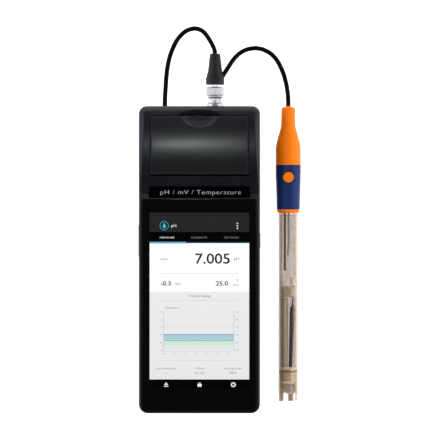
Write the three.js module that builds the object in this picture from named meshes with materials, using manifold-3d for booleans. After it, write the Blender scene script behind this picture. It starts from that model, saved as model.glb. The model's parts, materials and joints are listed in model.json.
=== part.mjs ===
// Handheld pH meter with a thermal printer, a BNC lead set and a pH electrode.
// Millimetres. +Z up from the flat back, +Y towards the connector end, +X to the right of the screen.
// The origin is the middle of the flat back face.
import * as THREE from 'three';
import { mergeVertices } from 'three/addons/utils/BufferGeometryUtils.js';
import Module from 'manifold-3d';

const wasm = await Module();
wasm.setup();

// ---- driving dimensions ----
const GAP = 0.3; // clearance between pieces that touch
const BODY = {
  halfWidth: 41.5, halfLength: 105.25, depth: 26, wall: 2, split: 16,
  topCorner: 5.4, bottomCornerX: 5.8, bottomCornerY: 7, backEdge: 3.2, frontEdge: 1.2,
};
const HUMP = { start: 45.9, apexY: 78.5, apexZ: 40, radius: 52, endRound: 3, sideRound: 3 };
const GLASS = { left: -39.5, right: 39, bottom: -103.1, top: 41.3, thick: 1.1 };
const DISPLAY = { halfWidth: 35.3, bottom: -92, top: 36, thick: 4.2 };
const LID = { halfWidth: 33.6, start: 59.6, end: 98.4, thick: 2, open: 57.2, openEnd: 98.8 };
const HINGE = { y: 60.1, z: 34.6, pinRadius: 1, knuckleRadius: 2.1 };
const ROLL = { y: 70.8, z: 22.2, radius: 14.2, core: 6.2, halfWidth: 28.5 };
const CRADLE = { radius: 15.4, wall: 1.2, halfWidth: 30.1, sideTop: 31 };
const PLATEN = { y: 92.1, z: 26.5, radius: 4.8, halfWidth: 28.4, shaft: 1.5 };
const GEAR = { module: 0.6, x0: 30.8, x1: 33.2, platenTeeth: 16, idlerTeeth: 16, motorTeeth: 10 };
const HEAD = { y: 98, thick: 2, halfWidth: 28.5, bottom: 22, top: 29.4 };
const SCOOP = { radius: 27.5, top: 103.6, floor: 31, thick: 1.1, halfWidth: 17 };
const BAY = { left: -33, right: 19.5, panel: 93.3, ceiling: 16.2, wall: 1.8 };
const JACK = { z: 8.2, bncX: 10.7, tempX: -23.7 };
const COVER = { halfWidth: 33, top: -28, thick: 1.8, tongue: 1.5 };
const SCREW = { x: 37.2, bottomY: -95, topY: 52, head: 1.9, shank: 1.1, top: 19.4 };
const MOTOR = { x0: 21.8, x1: 30.2, radius: 7 };
const CORD = { radius: 1.6, sides: 8 };
const PROBE = { x: 60.9, restY: 65.1, sleeveRadius: 8.6, tubeRadius: 6.65, tip: -97.1, boreRadius: 5.65 };

// The lid's free edge rises along this direction, and the gears part along it.
const liftAngle = Math.atan2(PLATEN.z - HINGE.z, PLATEN.y - HINGE.y);
const gearPlay = 0.15;
const pitchRadius = (teeth) => (GEAR.module * teeth) / 2;
const idlerReach = pitchRadius(GEAR.platenTeeth) + pitchRadius(GEAR.idlerTeeth) + gearPlay;
const IDLER = {
  y: PLATEN.y + idlerReach * Math.sin(liftAngle),
  z: PLATEN.z - idlerReach * Math.cos(liftAngle),
};
const motorReach = pitchRadius(GEAR.idlerTeeth) + pitchRadius(GEAR.motorTeeth) + gearPlay;
const motorAngle = THREE.MathUtils.degToRad(-51.7);
const MOTOR_AXIS = {
  y: IDLER.y + motorReach * Math.cos(motorAngle),
  z: IDLER.z + motorReach * Math.sin(motorAngle),
};

// ---- materials ----
const finish = (color, roughness, metalness = 0) =>
  new THREE.MeshStandardMaterial({ color, roughness, metalness });
const blackPlastic = finish(0x17191d, 0.42);
const glossBlack = finish(0x0b0c0f, 0.12);
const screenGlass = finish(0x101216, 0.08);
const displayWhite = finish(0xe9ecef, 0.35);
const darkRubber = finish(0x141414, 0.75);
const nickel = finish(0xc9c7c2, 0.22, 1);
const gold = finish(0xd3a64a, 0.3, 1);
const steel = finish(0xa9abad, 0.35, 1);
const boardGreen = finish(0x1f5b3a, 0.55);
const cellBlue = finish(0x2b3f66, 0.5);
const paperWhite = finish(0xf1efe8, 0.9);
const whitePlastic = finish(0xe5e2da, 0.5);
const ceramicBrown = finish(0x8a5a3c, 0.45);
const orangePlastic = finish(0xff7d12, 0.38);
const bluePlastic = finish(0x1b2d63, 0.4);
const clearPlastic = finish(0xcdbfae, 0.12);
const clearGlass = finish(0xdde4e0, 0.05);
const creamPlastic = finish(0xdcc9a4, 0.45);
const brownRod = finish(0x4a2f1c, 0.4);
const tanFill = finish(0xa08a62, 0.6);

// ---- solids ----
function solid(geometry) {
  geometry.deleteAttribute('normal');
  geometry.deleteAttribute('uv');
  const merged = mergeVertices(geometry, 1e-5);
  return new wasm.Manifold(new wasm.Mesh({
    numProp: 3,
    vertProperties: new Float32Array(merged.attributes.position.array),
    triVerts: new Uint32Array(merged.index.array),
  }));
}

function geometryOf(body) {
  const mesh = body.getMesh();
  const geometry = new THREE.BufferGeometry();
  geometry.setAttribute('position', new THREE.BufferAttribute(new Float32Array(mesh.vertProperties), 3));
  geometry.setIndex(new THREE.BufferAttribute(new Uint32Array(mesh.triVerts), 1));
  geometry.computeVertexNormals();
  return geometry;
}

function box(x0, x1, y0, y1, z0, z1) {
  const geometry = new THREE.BoxGeometry(x1 - x0, y1 - y0, z1 - z0);
  geometry.translate((x0 + x1) / 2, (y0 + y1) / 2, (z0 + z1) / 2);
  return solid(geometry);
}

const toShape = (points) => new THREE.Shape(points.map(([u, v]) => new THREE.Vector2(u, v)));

function extruded(shape, depth, curveSegments = 6) {
  return new THREE.ExtrudeGeometry(shape, { depth, bevelEnabled: false, curveSegments });
}

// A shape drawn in X and Y, standing from z0 to z1.
function prismZ(shape, z0, z1, curveSegments) {
  return solid(extruded(shape, z1 - z0, curveSegments).translate(0, 0, z0));
}

const alongX = new THREE.Matrix4().makeBasis(
  new THREE.Vector3(0, 1, 0), new THREE.Vector3(0, 0, 1), new THREE.Vector3(1, 0, 0));
const alongY = new THREE.Matrix4().makeBasis(
  new THREE.Vector3(1, 0, 0), new THREE.Vector3(0, 0, 1), new THREE.Vector3(0, -1, 0));

// A shape drawn in Y and Z, running from x0 to x1.
function prismX(shape, x0, x1, curveSegments) {
  return solid(extruded(shape, x1 - x0, curveSegments).applyMatrix4(alongX).translate(x0, 0, 0));
}

// A shape drawn in X and Z, running from y0 to y1.
function prismY(shape, y0, y1, curveSegments) {
  return solid(extruded(shape, y1 - y0, curveSegments).applyMatrix4(alongY).translate(0, y1, 0));
}

// A turned piece about the Y axis: profile points are [radius, y], from axis to axis or closed.
function turned(profile, sides = 24) {
  const points = profile.map(([r, y]) => new THREE.Vector2(r, y));
  const area = points.reduce((sum, p, i) => {
    const q = points[(i + 1) % points.length];
    return sum + p.x * q.y - q.x * p.y;
  }, 0);
  if (area < 0) points.reverse();
  return solid(new THREE.LatheGeometry(points, sides));
}

const rod = (radius, y0, y1, sides) => turned([[0, y0], [radius, y0], [radius, y1], [0, y1]], sides);
const tube = (outer, inner, y0, y1, sides) =>
  turned([[inner, y0], [outer, y0], [outer, y1], [inner, y1], [inner, y0]], sides);

// A round bar or ring along X at the given Y and Z.
function barX(radius, x0, x1, y, z, sides = 16) {
  const disc = new THREE.Shape().absarc(y, z, radius, 0, Math.PI * 2);
  return prismX(disc, x0, x1, sides / 2);
}

function barZ(radius, x, y, z0, z1, sides = 16) {
  const disc = new THREE.Shape().absarc(x, y, radius, 0, Math.PI * 2);
  return prismZ(disc, z0, z1, sides / 2);
}

// ---- scene graph ----
const meter = new THREE.Group();
const probe = new THREE.Group();

function add(name, body, material, parent = meter) {
  const mesh = new THREE.Mesh(geometryOf(body), material);
  mesh.name = name;
  parent.add(mesh);
  return mesh;
}

// ---- casing forms ----
function planOutline(inset) {
  const w = BODY.halfWidth - inset;
  const l = BODY.halfLength - inset;
  const r = BODY.topCorner - inset;
  const cx = BODY.bottomCornerX;
  const cy = BODY.bottomCornerY;
  const shape = new THREE.Shape();
  shape.moveTo(-w + cx, -l);
  shape.lineTo(w - cx, -l);
  shape.quadraticCurveTo(w - 1, -l + 1, w, -l + cy);
  shape.lineTo(w, l - r);
  shape.absarc(w - r, l - r, r, 0, Math.PI / 2);
  shape.lineTo(-w + r, l);
  shape.absarc(-w + r, l - r, r, Math.PI / 2, Math.PI);
  shape.lineTo(-w, -l + cy);
  shape.quadraticCurveTo(-w + 1, -l + 1, -w + cx, -l);
  return shape;
}

function crossSection(inset, top) {
  const w = BODY.halfWidth - inset;
  const back = BODY.backEdge;
  const front = BODY.frontEdge;
  const shape = new THREE.Shape();
  shape.moveTo(-w + back, inset);
  shape.lineTo(w - back, inset);
  shape.quadraticCurveTo(w, inset, w, inset + back);
  shape.lineTo(w, top - inset - front);
  shape.lineTo(w - front, top - inset);
  shape.lineTo(-w + front, top - inset);
  shape.lineTo(-w, top - inset - front);
  shape.lineTo(-w, inset + back);
  shape.quadraticCurveTo(-w, inset, -w + back, inset);
  return shape;
}

const archHeight = (y, inset = 0) => {
  const r = HUMP.radius - inset;
  return HUMP.apexZ - HUMP.radius + Math.sqrt(r * r - (y - HUMP.apexY) ** 2);
};

// The printer housing's side view, from the step above the screen to the connector end.
function humpProfile(inset) {
  const first = HUMP.start + inset;
  const last = BODY.halfLength - inset;
  const round = HUMP.endRound;
  const from = first + 1.2;
  const to = last - round;
  const foot = BODY.split - 4;
  const steps = 14;
  const points = [[first, foot], [first, archHeight(first, inset) - 0.6]];
  for (let i = 0; i <= steps; i += 1) {
    const y = from + ((to - from) * i) / steps;
    points.push([y, archHeight(y, inset)]);
  }
  const shoulder = archHeight(to, inset) - round;
  for (let i = 1; i <= 3; i += 1) {
    const a = (Math.PI / 2) * (1 - i / 3);
    points.push([to + round * Math.cos(a), shoulder + round * Math.sin(a) - (i * 0.2)]);
  }
  points.push([last, foot]);
  return points.reverse();
}

// A closed body through profiles of equal point count, each at its own X.
function loftX(sections) {
  const count = sections[0].points.length;
  const positions = sections.flatMap(({ x, points }) => points.flatMap(([y, z]) => [x, y, z]));
  const index = [];
  for (let s = 0; s < sections.length - 1; s += 1) {
    for (let i = 0; i < count; i += 1) {
      const a = s * count + i;
      const b = s * count + ((i + 1) % count);
      index.push(a, b, a + count, b, b + count, a + count);
    }
  }
  const end = (sections.length - 1) * count;
  const flat = sections[0].points.map(([y, z]) => new THREE.Vector2(y, z));
  const caps = THREE.ShapeUtils.triangulateShape(flat, []);
  caps.forEach(([a, b, c]) => {
    index.push(a, c, b);
    index.push(end + a, end + b, end + c);
  });
  const geometry = new THREE.BufferGeometry();
  geometry.setAttribute('position', new THREE.Float32BufferAttribute(positions, 3));
  geometry.setIndex(index);
  const body = solid(geometry);
  if (body.volume() > 0) return body;
  geometry.setIndex(index.map((_, i) => index[i - (i % 3) + (2 - (i % 3))]));
  return solid(geometry);
}

function hump(inset) {
  const w = BODY.halfWidth - inset;
  const r = HUMP.sideRound;
  const sections = [0, 30, 60, 90].map((degrees) => {
    const a = THREE.MathUtils.degToRad(degrees);
    return { x: w - r + r * Math.cos(a), drop: inset + r - r * Math.sin(a) };
  });
  const right = sections.map(({ x, drop }) => ({ x, points: humpProfile(drop) }));
  const left = right.map(({ x, points }) => ({ x: -x, points }));
  return loftX([...left, ...right].sort((a, b) => a.x - b.x));
}

function envelope(inset, top) {
  const lower = prismY(crossSection(inset, top), -BODY.halfLength, BODY.halfLength, 3);
  return lower.add(hump(inset)).intersect(prismZ(planOutline(inset), -1, HUMP.apexZ + 5, 5));
}

const outer = envelope(0, BODY.depth);
const inner = envelope(BODY.wall, BODY.depth - 1.6);
const bayBlock = box(BAY.left - BAY.wall, BAY.right + BAY.wall, BAY.panel - BAY.wall,
  BODY.halfLength + 1, -1, BAY.ceiling + 1.6);
const bay = box(BAY.left, BAY.right, BAY.panel, BODY.halfLength + 1, -1, BAY.ceiling);
const shell = outer.subtract(inner.subtract(bayBlock)).subtract(bay);
const above = (z) => box(-60, 60, -120, 120, z, 60);
const below = (z) => box(-60, 60, -120, 120, -5, z);
const screwSpots = [-1, 1].flatMap((side) =>
  [SCREW.bottomY, SCREW.topY].map((y) => ({ x: side * SCREW.x, y })));

// ---- casing ----
function frontHousing() {
  let body = shell.intersect(above(BODY.split + GAP / 2));
  screwSpots.forEach(({ x, y }) => {
    body = body.add(barZ(2.5, x, y, BODY.split + GAP / 2, SCREW.top + 3, 12));
  });
  body = body.add(box(-SCOOP.halfWidth, SCOOP.halfWidth, LID.openEnd, 104.5,
    SCOOP.floor - SCOOP.thick, 34).intersect(outer));
  [-1, 1].forEach((side) => {
    const x = side * (LID.halfWidth + 2.2);
    body = body.add(box(x - 1.8, x + 1.8, HINGE.y - 2.6, HINGE.y + 2.6, HINGE.z - 2.8, HINGE.z + 1));
  });
  body = body.subtract(box(-LID.halfWidth - 0.4, LID.halfWidth + 0.4, LID.open, LID.openEnd, 24, 45));
  const glassFloor = BODY.depth - GLASS.thick - GAP;
  body = body.subtract(box(GLASS.left - GAP, GLASS.right + GAP, GLASS.bottom - GAP, GLASS.top + GAP,
    glassFloor, 30));
  body = body.subtract(box(-DISPLAY.halfWidth - GAP, DISPLAY.halfWidth + GAP,
    DISPLAY.bottom - GAP, DISPLAY.top + GAP, 17, 30));
  const scoop = barZ(SCOOP.radius, 0, SCOOP.top - SCOOP.radius, SCOOP.floor, 45, 48);
  body = body.subtract(scoop.intersect(box(-20, 20, LID.openEnd - 1, 110, 30, 45)));
  body = body.subtract(barX(HINGE.pinRadius + GAP, -38, 38, HINGE.y, HINGE.z));
  screwSpots.forEach(({ x, y }) => {
    body = body.subtract(barZ(SCREW.shank + GAP, x, y, BODY.split - 1, SCREW.top + 0.6, 12));
  });
  sideButtons.forEach(({ side, y0, y1 }) => {
    const x = side * BODY.halfWidth;
    body = body.subtract(box(x - 3, x + 3, y0 - GAP, y1 + GAP, KEY.z0 - GAP, KEY.z1 + GAP));
  });
  return body;
}

function rearHousing() {
  let body = shell.intersect(below(BODY.split - GAP / 2));
  screwSpots.forEach(({ x, y }) => {
    body = body.add(barZ(2.6, x, y, 1, BODY.split - GAP / 2, 12));
  });
  screwSpots.forEach(({ x, y }) => {
    body = body.subtract(barZ(SCREW.shank + GAP, x, y, -1, BODY.split, 12));
    body = body.subtract(barZ(SCREW.head + GAP, x, y, -1, 2.3, 16));
  });
  const clear = COVER.halfWidth + 0.4;
  body = body.subtract(box(-clear, clear, -110, COVER.top + 0.4, -1, BODY.wall + 0.1));
  const groove = clear + COVER.tongue;
  body = body.subtract(box(-groove, groove, -110, COVER.top + 0.4, 0.9, BODY.wall + 0.1));
  body = body.subtract(barZ(CAMERA.radius + GAP, CAMERA.x, CAMERA.y, -1, 3, 20));
  body = body.subtract(barZ(FLASH.radius + GAP, FLASH.x, FLASH.y, -1, 3, 12));
  for (let i = -2; i <= 2; i += 1) {
    const y = SPEAKER.y + i * SPEAKER.slotPitch;
    body = body.subtract(box(SPEAKER.x - 7, SPEAKER.x + 7, y - 0.6, y + 0.6, -1, 3));
  }
  body = body.subtract(box(-PORT.halfWidth - GAP, PORT.halfWidth + GAP, -108, -102,
    PORT.z0 - GAP, PORT.z1 + GAP));
  body = body.subtract(rod(5, 85, 96, 20).translate(JACK.bncX, 0, JACK.z));
  body = body.subtract(rod(3.8, 85, 96, 16).translate(JACK.tempX, 0, JACK.z));
  return body;
}

function batteryCover() {
  const plate = box(-COVER.halfWidth, COVER.halfWidth, -110, COVER.top, -1, COVER.thick);
  const reach = COVER.halfWidth + COVER.tongue;
  const tongues = box(-reach, reach, -97, COVER.top - 3, 1.2, COVER.thick);
  let body = plate.add(tongues).intersect(outer);
  for (let i = 0; i < 3; i += 1) {
    const y = -58 + i * 2.6;
    body = body.subtract(box(-7, 7, y, y + 1.2, -1, 0.5));
  }
  return body;
}

const KEY = { z0: 17.7, z1: 20.4, proud: 0.3 };
const sideButtons = [
  { name: 'power_button', side: 1, y0: 8, y1: 18 },
  { name: 'volume_button', side: -1, y0: 2, y1: 24 },
];
const CAMERA = { x: -20, y: 30, radius: 4 };
const FLASH = { x: -11, y: 30, radius: 2 };
const SPEAKER = { x: 17, y: 28, slotPitch: 2.6 };
const PORT = { halfWidth: 4.5, z0: 8.8, z1: 12 };

function sideButton({ side, y0, y1 }) {
  const face = BODY.halfWidth + KEY.proud;
  const cap = box(38.9, face, y0, y1, KEY.z0, KEY.z1);
  const flange = box(38.1, 39.1, y0 - 1, y1 + 1, KEY.z0 - 0.8, KEY.z1 + 0.8);
  const body = cap.add(flange);
  return side > 0 ? body : body.mirror([1, 0, 0]);
}

function casing() {
  add('rear_housing', rearHousing(), blackPlastic);
  add('front_housing', frontHousing(), blackPlastic);
  add('battery_cover', batteryCover(), blackPlastic);
  screwSpots.forEach(({ x, y }, i) => {
    const head = barZ(SCREW.head, x, y, 0.4, 1.9, 16);
    const socket = barZ(0.9, x, y, 0, 1.2, 6);
    const shank = barZ(SCREW.shank, x, y, 1.8, SCREW.top, 12);
    add(`housing_screw_${i + 1}`, head.add(shank).subtract(socket), steel);
  });
  sideButtons.forEach((key) => add(key.name, sideButton(key), glossBlack));
  add('camera_window', barZ(CAMERA.radius, CAMERA.x, CAMERA.y, 0.4, 1.7, 20), clearGlass);
  add('flash_window', barZ(FLASH.radius, FLASH.x, FLASH.y, 0.4, 1.7, 12), clearGlass);
  add('label_strip', labelStrip(), glossBlack);
}

// A wedge bar in the corner between the screen bezel and the printer housing.
function labelStrip() {
  const shape = toShape([[42.4, 26.35], [45.4, 26.35], [45.4, 28.9], [49.8, 31.95], [49.8, 32.15],
    [42.4, 26.95]]);
  const wedge = prismX(shape, -34.6, 34.6);
  return wedge.subtract(hump(-GAP));
}

// ---- electronics ----
function touchGlass() {
  return box(GLASS.left, GLASS.right, GLASS.bottom, GLASS.top, BODY.depth - GLASS.thick, BODY.depth);
}

function mainBoard() {
  let body = box(-33.4, 33.4, -97, 43, 12.4, 13.6);
  body = body.add(box(-24, 4, -20, 16, 13.5, 15.6));
  body = body.add(box(-26, 22, -80, -46, 13.5, 15.2));
  return body.subtract(barZ(1.6, 0, 38, 12, 14, 12));
}

function electronics() {
  add('touch_glass', touchGlass(), screenGlass);
  const top = BODY.depth - GLASS.thick - 0.5;
  add('display_module', box(-DISPLAY.halfWidth, DISPLAY.halfWidth, DISPLAY.bottom, DISPLAY.top,
    top - DISPLAY.thick, top), displayWhite);
  add('main_board', mainBoard(), boardGreen);
  add('sensor_board', box(-34, 19.5, 49, 86.8, 2.5, 3.7), boardGreen);
  add('battery_pack', box(-31, 31, -94, -32, 2.5, 11.6), cellBlue);
  add('speaker', box(SPEAKER.x - 9, SPEAKER.x + 9, SPEAKER.y - 8, SPEAKER.y + 8, 2.4, 5.6), darkRubber);
  const { halfWidth, z0, z1 } = PORT;
  const socket = box(-halfWidth, halfWidth, -104.9, -97.6, z0, z1)
    .subtract(box(-halfWidth + 0.5, halfWidth - 0.5, -106, -98.6, z0 + 0.5, z1 - 0.5))
    .add(box(-3, 3, -103.5, -98, z0 + 1.2, z1 - 1.2));
  add('usb_port', socket, steel);
}

// ---- printer ----
function gearWheel(teeth, y, z, bore, phase) {
  const r = pitchRadius(teeth);
  const addendum = GEAR.module * 0.85;
  const dedendum = GEAR.module * 1.25;
  const pitch = (2 * Math.PI) / teeth;
  const marks = [[-0.31, -dedendum], [-0.2, 0], [-0.085, addendum], [0.085, addendum], [0.2, 0],
    [0.31, -dedendum]];
  const points = [];
  for (let i = 0; i < teeth; i += 1) {
    marks.forEach(([share, height]) => {
      const a = phase + (i + share) * pitch;
      points.push([y + (r + height) * Math.cos(a), z + (r + height) * Math.sin(a)]);
    });
  }
  return prismX(toShape(points), GEAR.x0, GEAR.x1).subtract(barX(bore, 30, 34, y, z, 12));
}

function lidShell() {
  const steps = 12;
  const top = [];
  const under = [];
  for (let i = 0; i <= steps; i += 1) {
    const y = LID.start + ((LID.end - LID.start) * i) / steps;
    top.push([y, archHeight(y)]);
    under.push([y, archHeight(y) - LID.thick]);
  }
  return prismX(toShape([...under, ...top.reverse()]), -LID.halfWidth, LID.halfWidth);
}

function printerLid() {
  let body = lidShell();
  const scoopPad = box(-12.5, 12.5, 91.8, LID.end, 31.8, 34.6);
  const dish = new THREE.SphereGeometry(1, 24, 14).scale(13, 8.6, 4.2).translate(0, 100.6, 37.2);
  const scoop = solid(dish);
  body = body.add(scoopPad).subtract(scoop);
  [-1, 1].forEach((side) => {
    const knuckle = barX(HINGE.knuckleRadius, 29.9, LID.halfWidth, HINGE.y, HINGE.z)
      .add(box(29.9, LID.halfWidth, HINGE.y - 0.5, HINGE.y + 4, HINGE.z, HINGE.z + 1.6));
    const arm = prismX(toShape([[86, 36.6], [88.9, 24.6], [91, 23.6], [93.4, 23.6], [95, 25.6],
      [96.2, 35.4]]), 29, 30.2);
    const pair = knuckle.add(arm);
    body = body.add(side > 0 ? pair : pair.mirror([1, 0, 0]));
  });
  body = body.subtract(barX(HINGE.pinRadius + GAP, -36, 36, HINGE.y, HINGE.z));
  return body.subtract(barX(PLATEN.shaft + GAP, -36, 36, PLATEN.y, PLATEN.z));
}

// The drop-in paper cradle: a trough with two end plates.
function printerFrame() {
  const { radius, wall, halfWidth, sideTop } = CRADLE;
  const arc = (r, first, last) => {
    const points = [];
    for (let i = 0; i <= 16; i += 1) {
      const a = first + ((last - first) * i) / 16;
      points.push([ROLL.y + r * Math.cos(a), ROLL.z + r * Math.sin(a)]);
    }
    return points;
  };
  const trough = prismX(toShape([...arc(radius + wall, Math.PI, 2 * Math.PI),
    ...arc(radius, 2 * Math.PI, Math.PI)]), -halfWidth, halfWidth);
  const plate = prismX(toShape([...arc(radius + wall, Math.PI, 2 * Math.PI),
    [ROLL.y + 10, sideTop], [ROLL.y - 8, sideTop]]), halfWidth - wall, halfWidth);
  const feet = box(-26, -20, 66, 76, 4.2, 7).add(box(20, 26, 66, 76, 4.2, 7));
  return trough.add(plate).add(plate.mirror([1, 0, 0])).add(feet.subtract(
    barX(radius + 0.4, -40, 40, ROLL.y, ROLL.z, 32)));
}

function gears() {
  const mesh = Math.atan2(IDLER.z - PLATEN.z, IDLER.y - PLATEN.y);
  const pitchOf = (teeth) => (2 * Math.PI) / teeth;
  const idlerPhase = mesh + Math.PI + pitchOf(GEAR.idlerTeeth) / 2;
  const toMotor = motorAngle;
  const beyond = (toMotor - idlerPhase) / pitchOf(GEAR.idlerTeeth);
  const motorPhase = toMotor + Math.PI + (0.5 + beyond) * pitchOf(GEAR.motorTeeth);
  const platenBore = PLATEN.shaft + GAP;
  add('platen_gear', gearWheel(GEAR.platenTeeth, PLATEN.y, PLATEN.z, platenBore, mesh), whitePlastic);
  add('idler_gear', gearWheel(GEAR.idlerTeeth, IDLER.y, IDLER.z, 1.3, idlerPhase), whitePlastic);
  add('idler_pin', barX(1, 30.5, 35.2, IDLER.y, IDLER.z, 12)
    .add(box(33.9, 35.2, IDLER.y - 2.5, IDLER.y + 2.5, 2.5, IDLER.z + 2)), steel);
  const shaft = barX(1.2, MOTOR.x1 - 3.6, 33.4, MOTOR_AXIS.y, MOTOR_AXIS.z, 12);
  const pinion = gearWheel(GEAR.motorTeeth, MOTOR_AXIS.y, MOTOR_AXIS.z, 1, motorPhase);
  add('motor_gear', pinion.add(shaft), gold);
}

function printer() {
  add('printer_lid', printerLid(), glossBlack);
  add('lid_hinge_pin', barX(HINGE.pinRadius, -37, 37, HINGE.y, HINGE.z, 12), steel);
  add('printer_frame', printerFrame(), blackPlastic);
  add('paper_roll', barX(ROLL.radius, -ROLL.halfWidth, ROLL.halfWidth, ROLL.y, ROLL.z, 40)
    .subtract(barX(ROLL.core + GAP, -40, 40, ROLL.y, ROLL.z, 24)), paperWhite);
  add('paper_core', barX(ROLL.core, -ROLL.halfWidth, ROLL.halfWidth, ROLL.y, ROLL.z, 24)
    .subtract(barX(ROLL.core - 1, -40, 40, ROLL.y, ROLL.z, 24)), creamPlastic);
  add('platen_roller', barX(PLATEN.radius, -PLATEN.halfWidth, PLATEN.halfWidth, PLATEN.y, PLATEN.z, 28)
    .subtract(barX(PLATEN.shaft + GAP, -40, 40, PLATEN.y, PLATEN.z, 16)), darkRubber);
  add('platen_shaft', barX(PLATEN.shaft, -31.6, 33.4, PLATEN.y, PLATEN.z, 16), steel);
  gears();
  add('feed_motor', barX(MOTOR.radius, MOTOR.x0, MOTOR.x1, MOTOR_AXIS.y, MOTOR_AXIS.z, 24)
    .subtract(barX(1.5, MOTOR.x1 - 4, 40, MOTOR_AXIS.y, MOTOR_AXIS.z, 12)), steel);
  const { halfWidth, y, thick, bottom, top } = HEAD;
  add('print_head', box(-halfWidth, halfWidth, y, y + thick, bottom, top), ceramicBrown);
  add('head_bracket', box(-30, 30, y + thick + GAP, 101.4, 18.2, top - 0.4)
    .add(box(-30, 30, 97, 101.4, 18.2, 19.2)), steel);
}

// ---- connectors and lead set ----
const onJack = (body, x) => body.translate(x, 0, JACK.z);
const lugY = 98.9;

function bncSocket() {
  let body = turned([[0, 87.5], [4.7, 87.5], [4.7, 93.6], [6.6, 93.6], [6.6, 95.2], [4.8, 95.2],
    [4.8, 103.2], [4.1, 103.2], [4.1, 95.4], [2.3, 95.4], [2.3, 90], [0, 90]], 24);
  const lugs = barX(1, -6, -4.4, lugY, 0, 10).add(barX(1, 4.4, 6, lugY, 0, 10));
  return onJack(body.add(lugs), JACK.bncX);
}

function bncSleeve() {
  let body = turned([[5.1, 95.6], [7, 95.6], [7.15, 96.2], [7.15, 103], [5.95, 104.6], [5.95, 107],
    [5.1, 107], [5.1, 95.6]], 32);
  const reach = 6.4;
  const wall = 1.5;
  body = body.subtract(box(-reach, reach, 95, lugY + wall, -wall, wall));
  const start = THREE.MathUtils.degToRad(-68);
  [0, Math.PI].forEach((turn) => {
    const sector = new THREE.Shape();
    sector.absarc(0, 0, reach, turn + start, turn);
    sector.absarc(0, 0, 4, turn, turn + start, true);
    body = body.subtract(prismY(sector, lugY - wall, lugY + wall, 8));
  });
  return onJack(body, JACK.bncX);
}

function bncPlug() {
  return onJack(turned([[3, 97.6], [3.7, 97.6], [3.7, 103.6], [4.75, 103.9], [4.75, 107.3],
    [4.85, 107.7], [4.85, 110.5], [6.15, 112.4], [6.15, 118.5], [4.85, 118.5], [4.85, 119.6],
    [2, 119.6], [2, 104.4], [3, 104.4], [3, 97.6]], 24), JACK.bncX);
}

// The moulded boot: a tapered body with a shoulder that the second cable slants out of.
const SHOULDER = { x: 14.2, radius: 2.75, top: 128.8 };
const BRANCH = { x: 15.4, y: 125.1, angle: -32.7, length: 8 };

function cableBoot() {
  const body = turned([[0, 119.9], [6.35, 119.9], [6.35, 124.2], [4.9, 129.3], [3.5, 141.2],
    [0, 141.2]], 24).translate(JACK.bncX, 0, 0);
  const shoulder = turned([[0, 119.9], [SHOULDER.radius, 119.9], [SHOULDER.radius, SHOULDER.top - 1],
    [SHOULDER.radius - 1, SHOULDER.top], [0, SHOULDER.top]], 20).translate(SHOULDER.x, 0, 0);
  const pocket = rod(CORD.radius + GAP, 0, BRANCH.length, 16)
    .rotate([0, 0, BRANCH.angle]).translate(BRANCH.x, BRANCH.y, 0);
  return body.add(shoulder).subtract(pocket).translate(0, 0, JACK.z);
}

function cord(points, steps) {
  const path = new THREE.CatmullRomCurve3(points.map((p) => new THREE.Vector3(...p)));
  const section = new THREE.Shape();
  for (let i = 0; i < CORD.sides; i += 1) {
    const a = (2 * Math.PI * i) / CORD.sides;
    const spot = [CORD.radius * Math.cos(a), CORD.radius * Math.sin(a)];
    if (i === 0) section.moveTo(...spot);
    else section.lineTo(...spot);
  }
  return solid(new THREE.ExtrudeGeometry(section, { steps, bevelEnabled: false, extrudePath: path }));
}

const tempLeadRoute = [
  [-23.7, 104.6, 8.2], [-23.7, 107.6, 8.1], [-23.6, 111.2, 7.0], [-23.4, 115, 5.0], [-23.1, 119.5, 3.0],
  [-22.8, 124.5, 1.95], [-22.2, 130, 1.65], [-21, 136.8, 1.65], [-18.8, 143.7, 1.65],
  [-16.2, 149.2, 1.65], [-13, 153.6, 1.65], [-8.9, 157.1, 1.65], [-3.4, 158.7, 1.65],
  [1.4, 157.4, 1.95], [4.8, 154.2, 3.0], [7.4, 150.4, 4.9], [9.3, 146.9, 6.7], [10.5, 144.4, 8.0],
  [10.7, 141.6, 8.2],
];
const swingPoint = { x: 38.4, y: 145.1 };
const bootCableRoute = [
  [15.62, 125.44, 8.2], [17.2, 127.9, 8.2], [18.8, 130.4, 7.9], [20.7, 133.4, 6.9],
  [22.9, 136.7, 5.4], [25.5, 139.7, 3.6], [29, 142.5, 2.2], [33.3, 144.4, 1.7],
  [swingPoint.x - 0.5, 145.1, 1.65],
];
const probeCableRoute = [
  [swingPoint.x + 0.5, 145.1, 1.65], [42.9, 144.4, 1.65], [47.7, 142.2, 1.65], [51.2, 139.2, 1.65],
  [53.6, 136.1, 1.65], [55.4, 132.8, 1.7], [57.4, 128.2, 2.1], [59, 122.8, 3.2], [60.1, 117.4, 5.2],
  [60.7, 112.4, 7.5], [60.9, 108.8, 8.7], [60.9, 105.3, 9.0],
];

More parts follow.
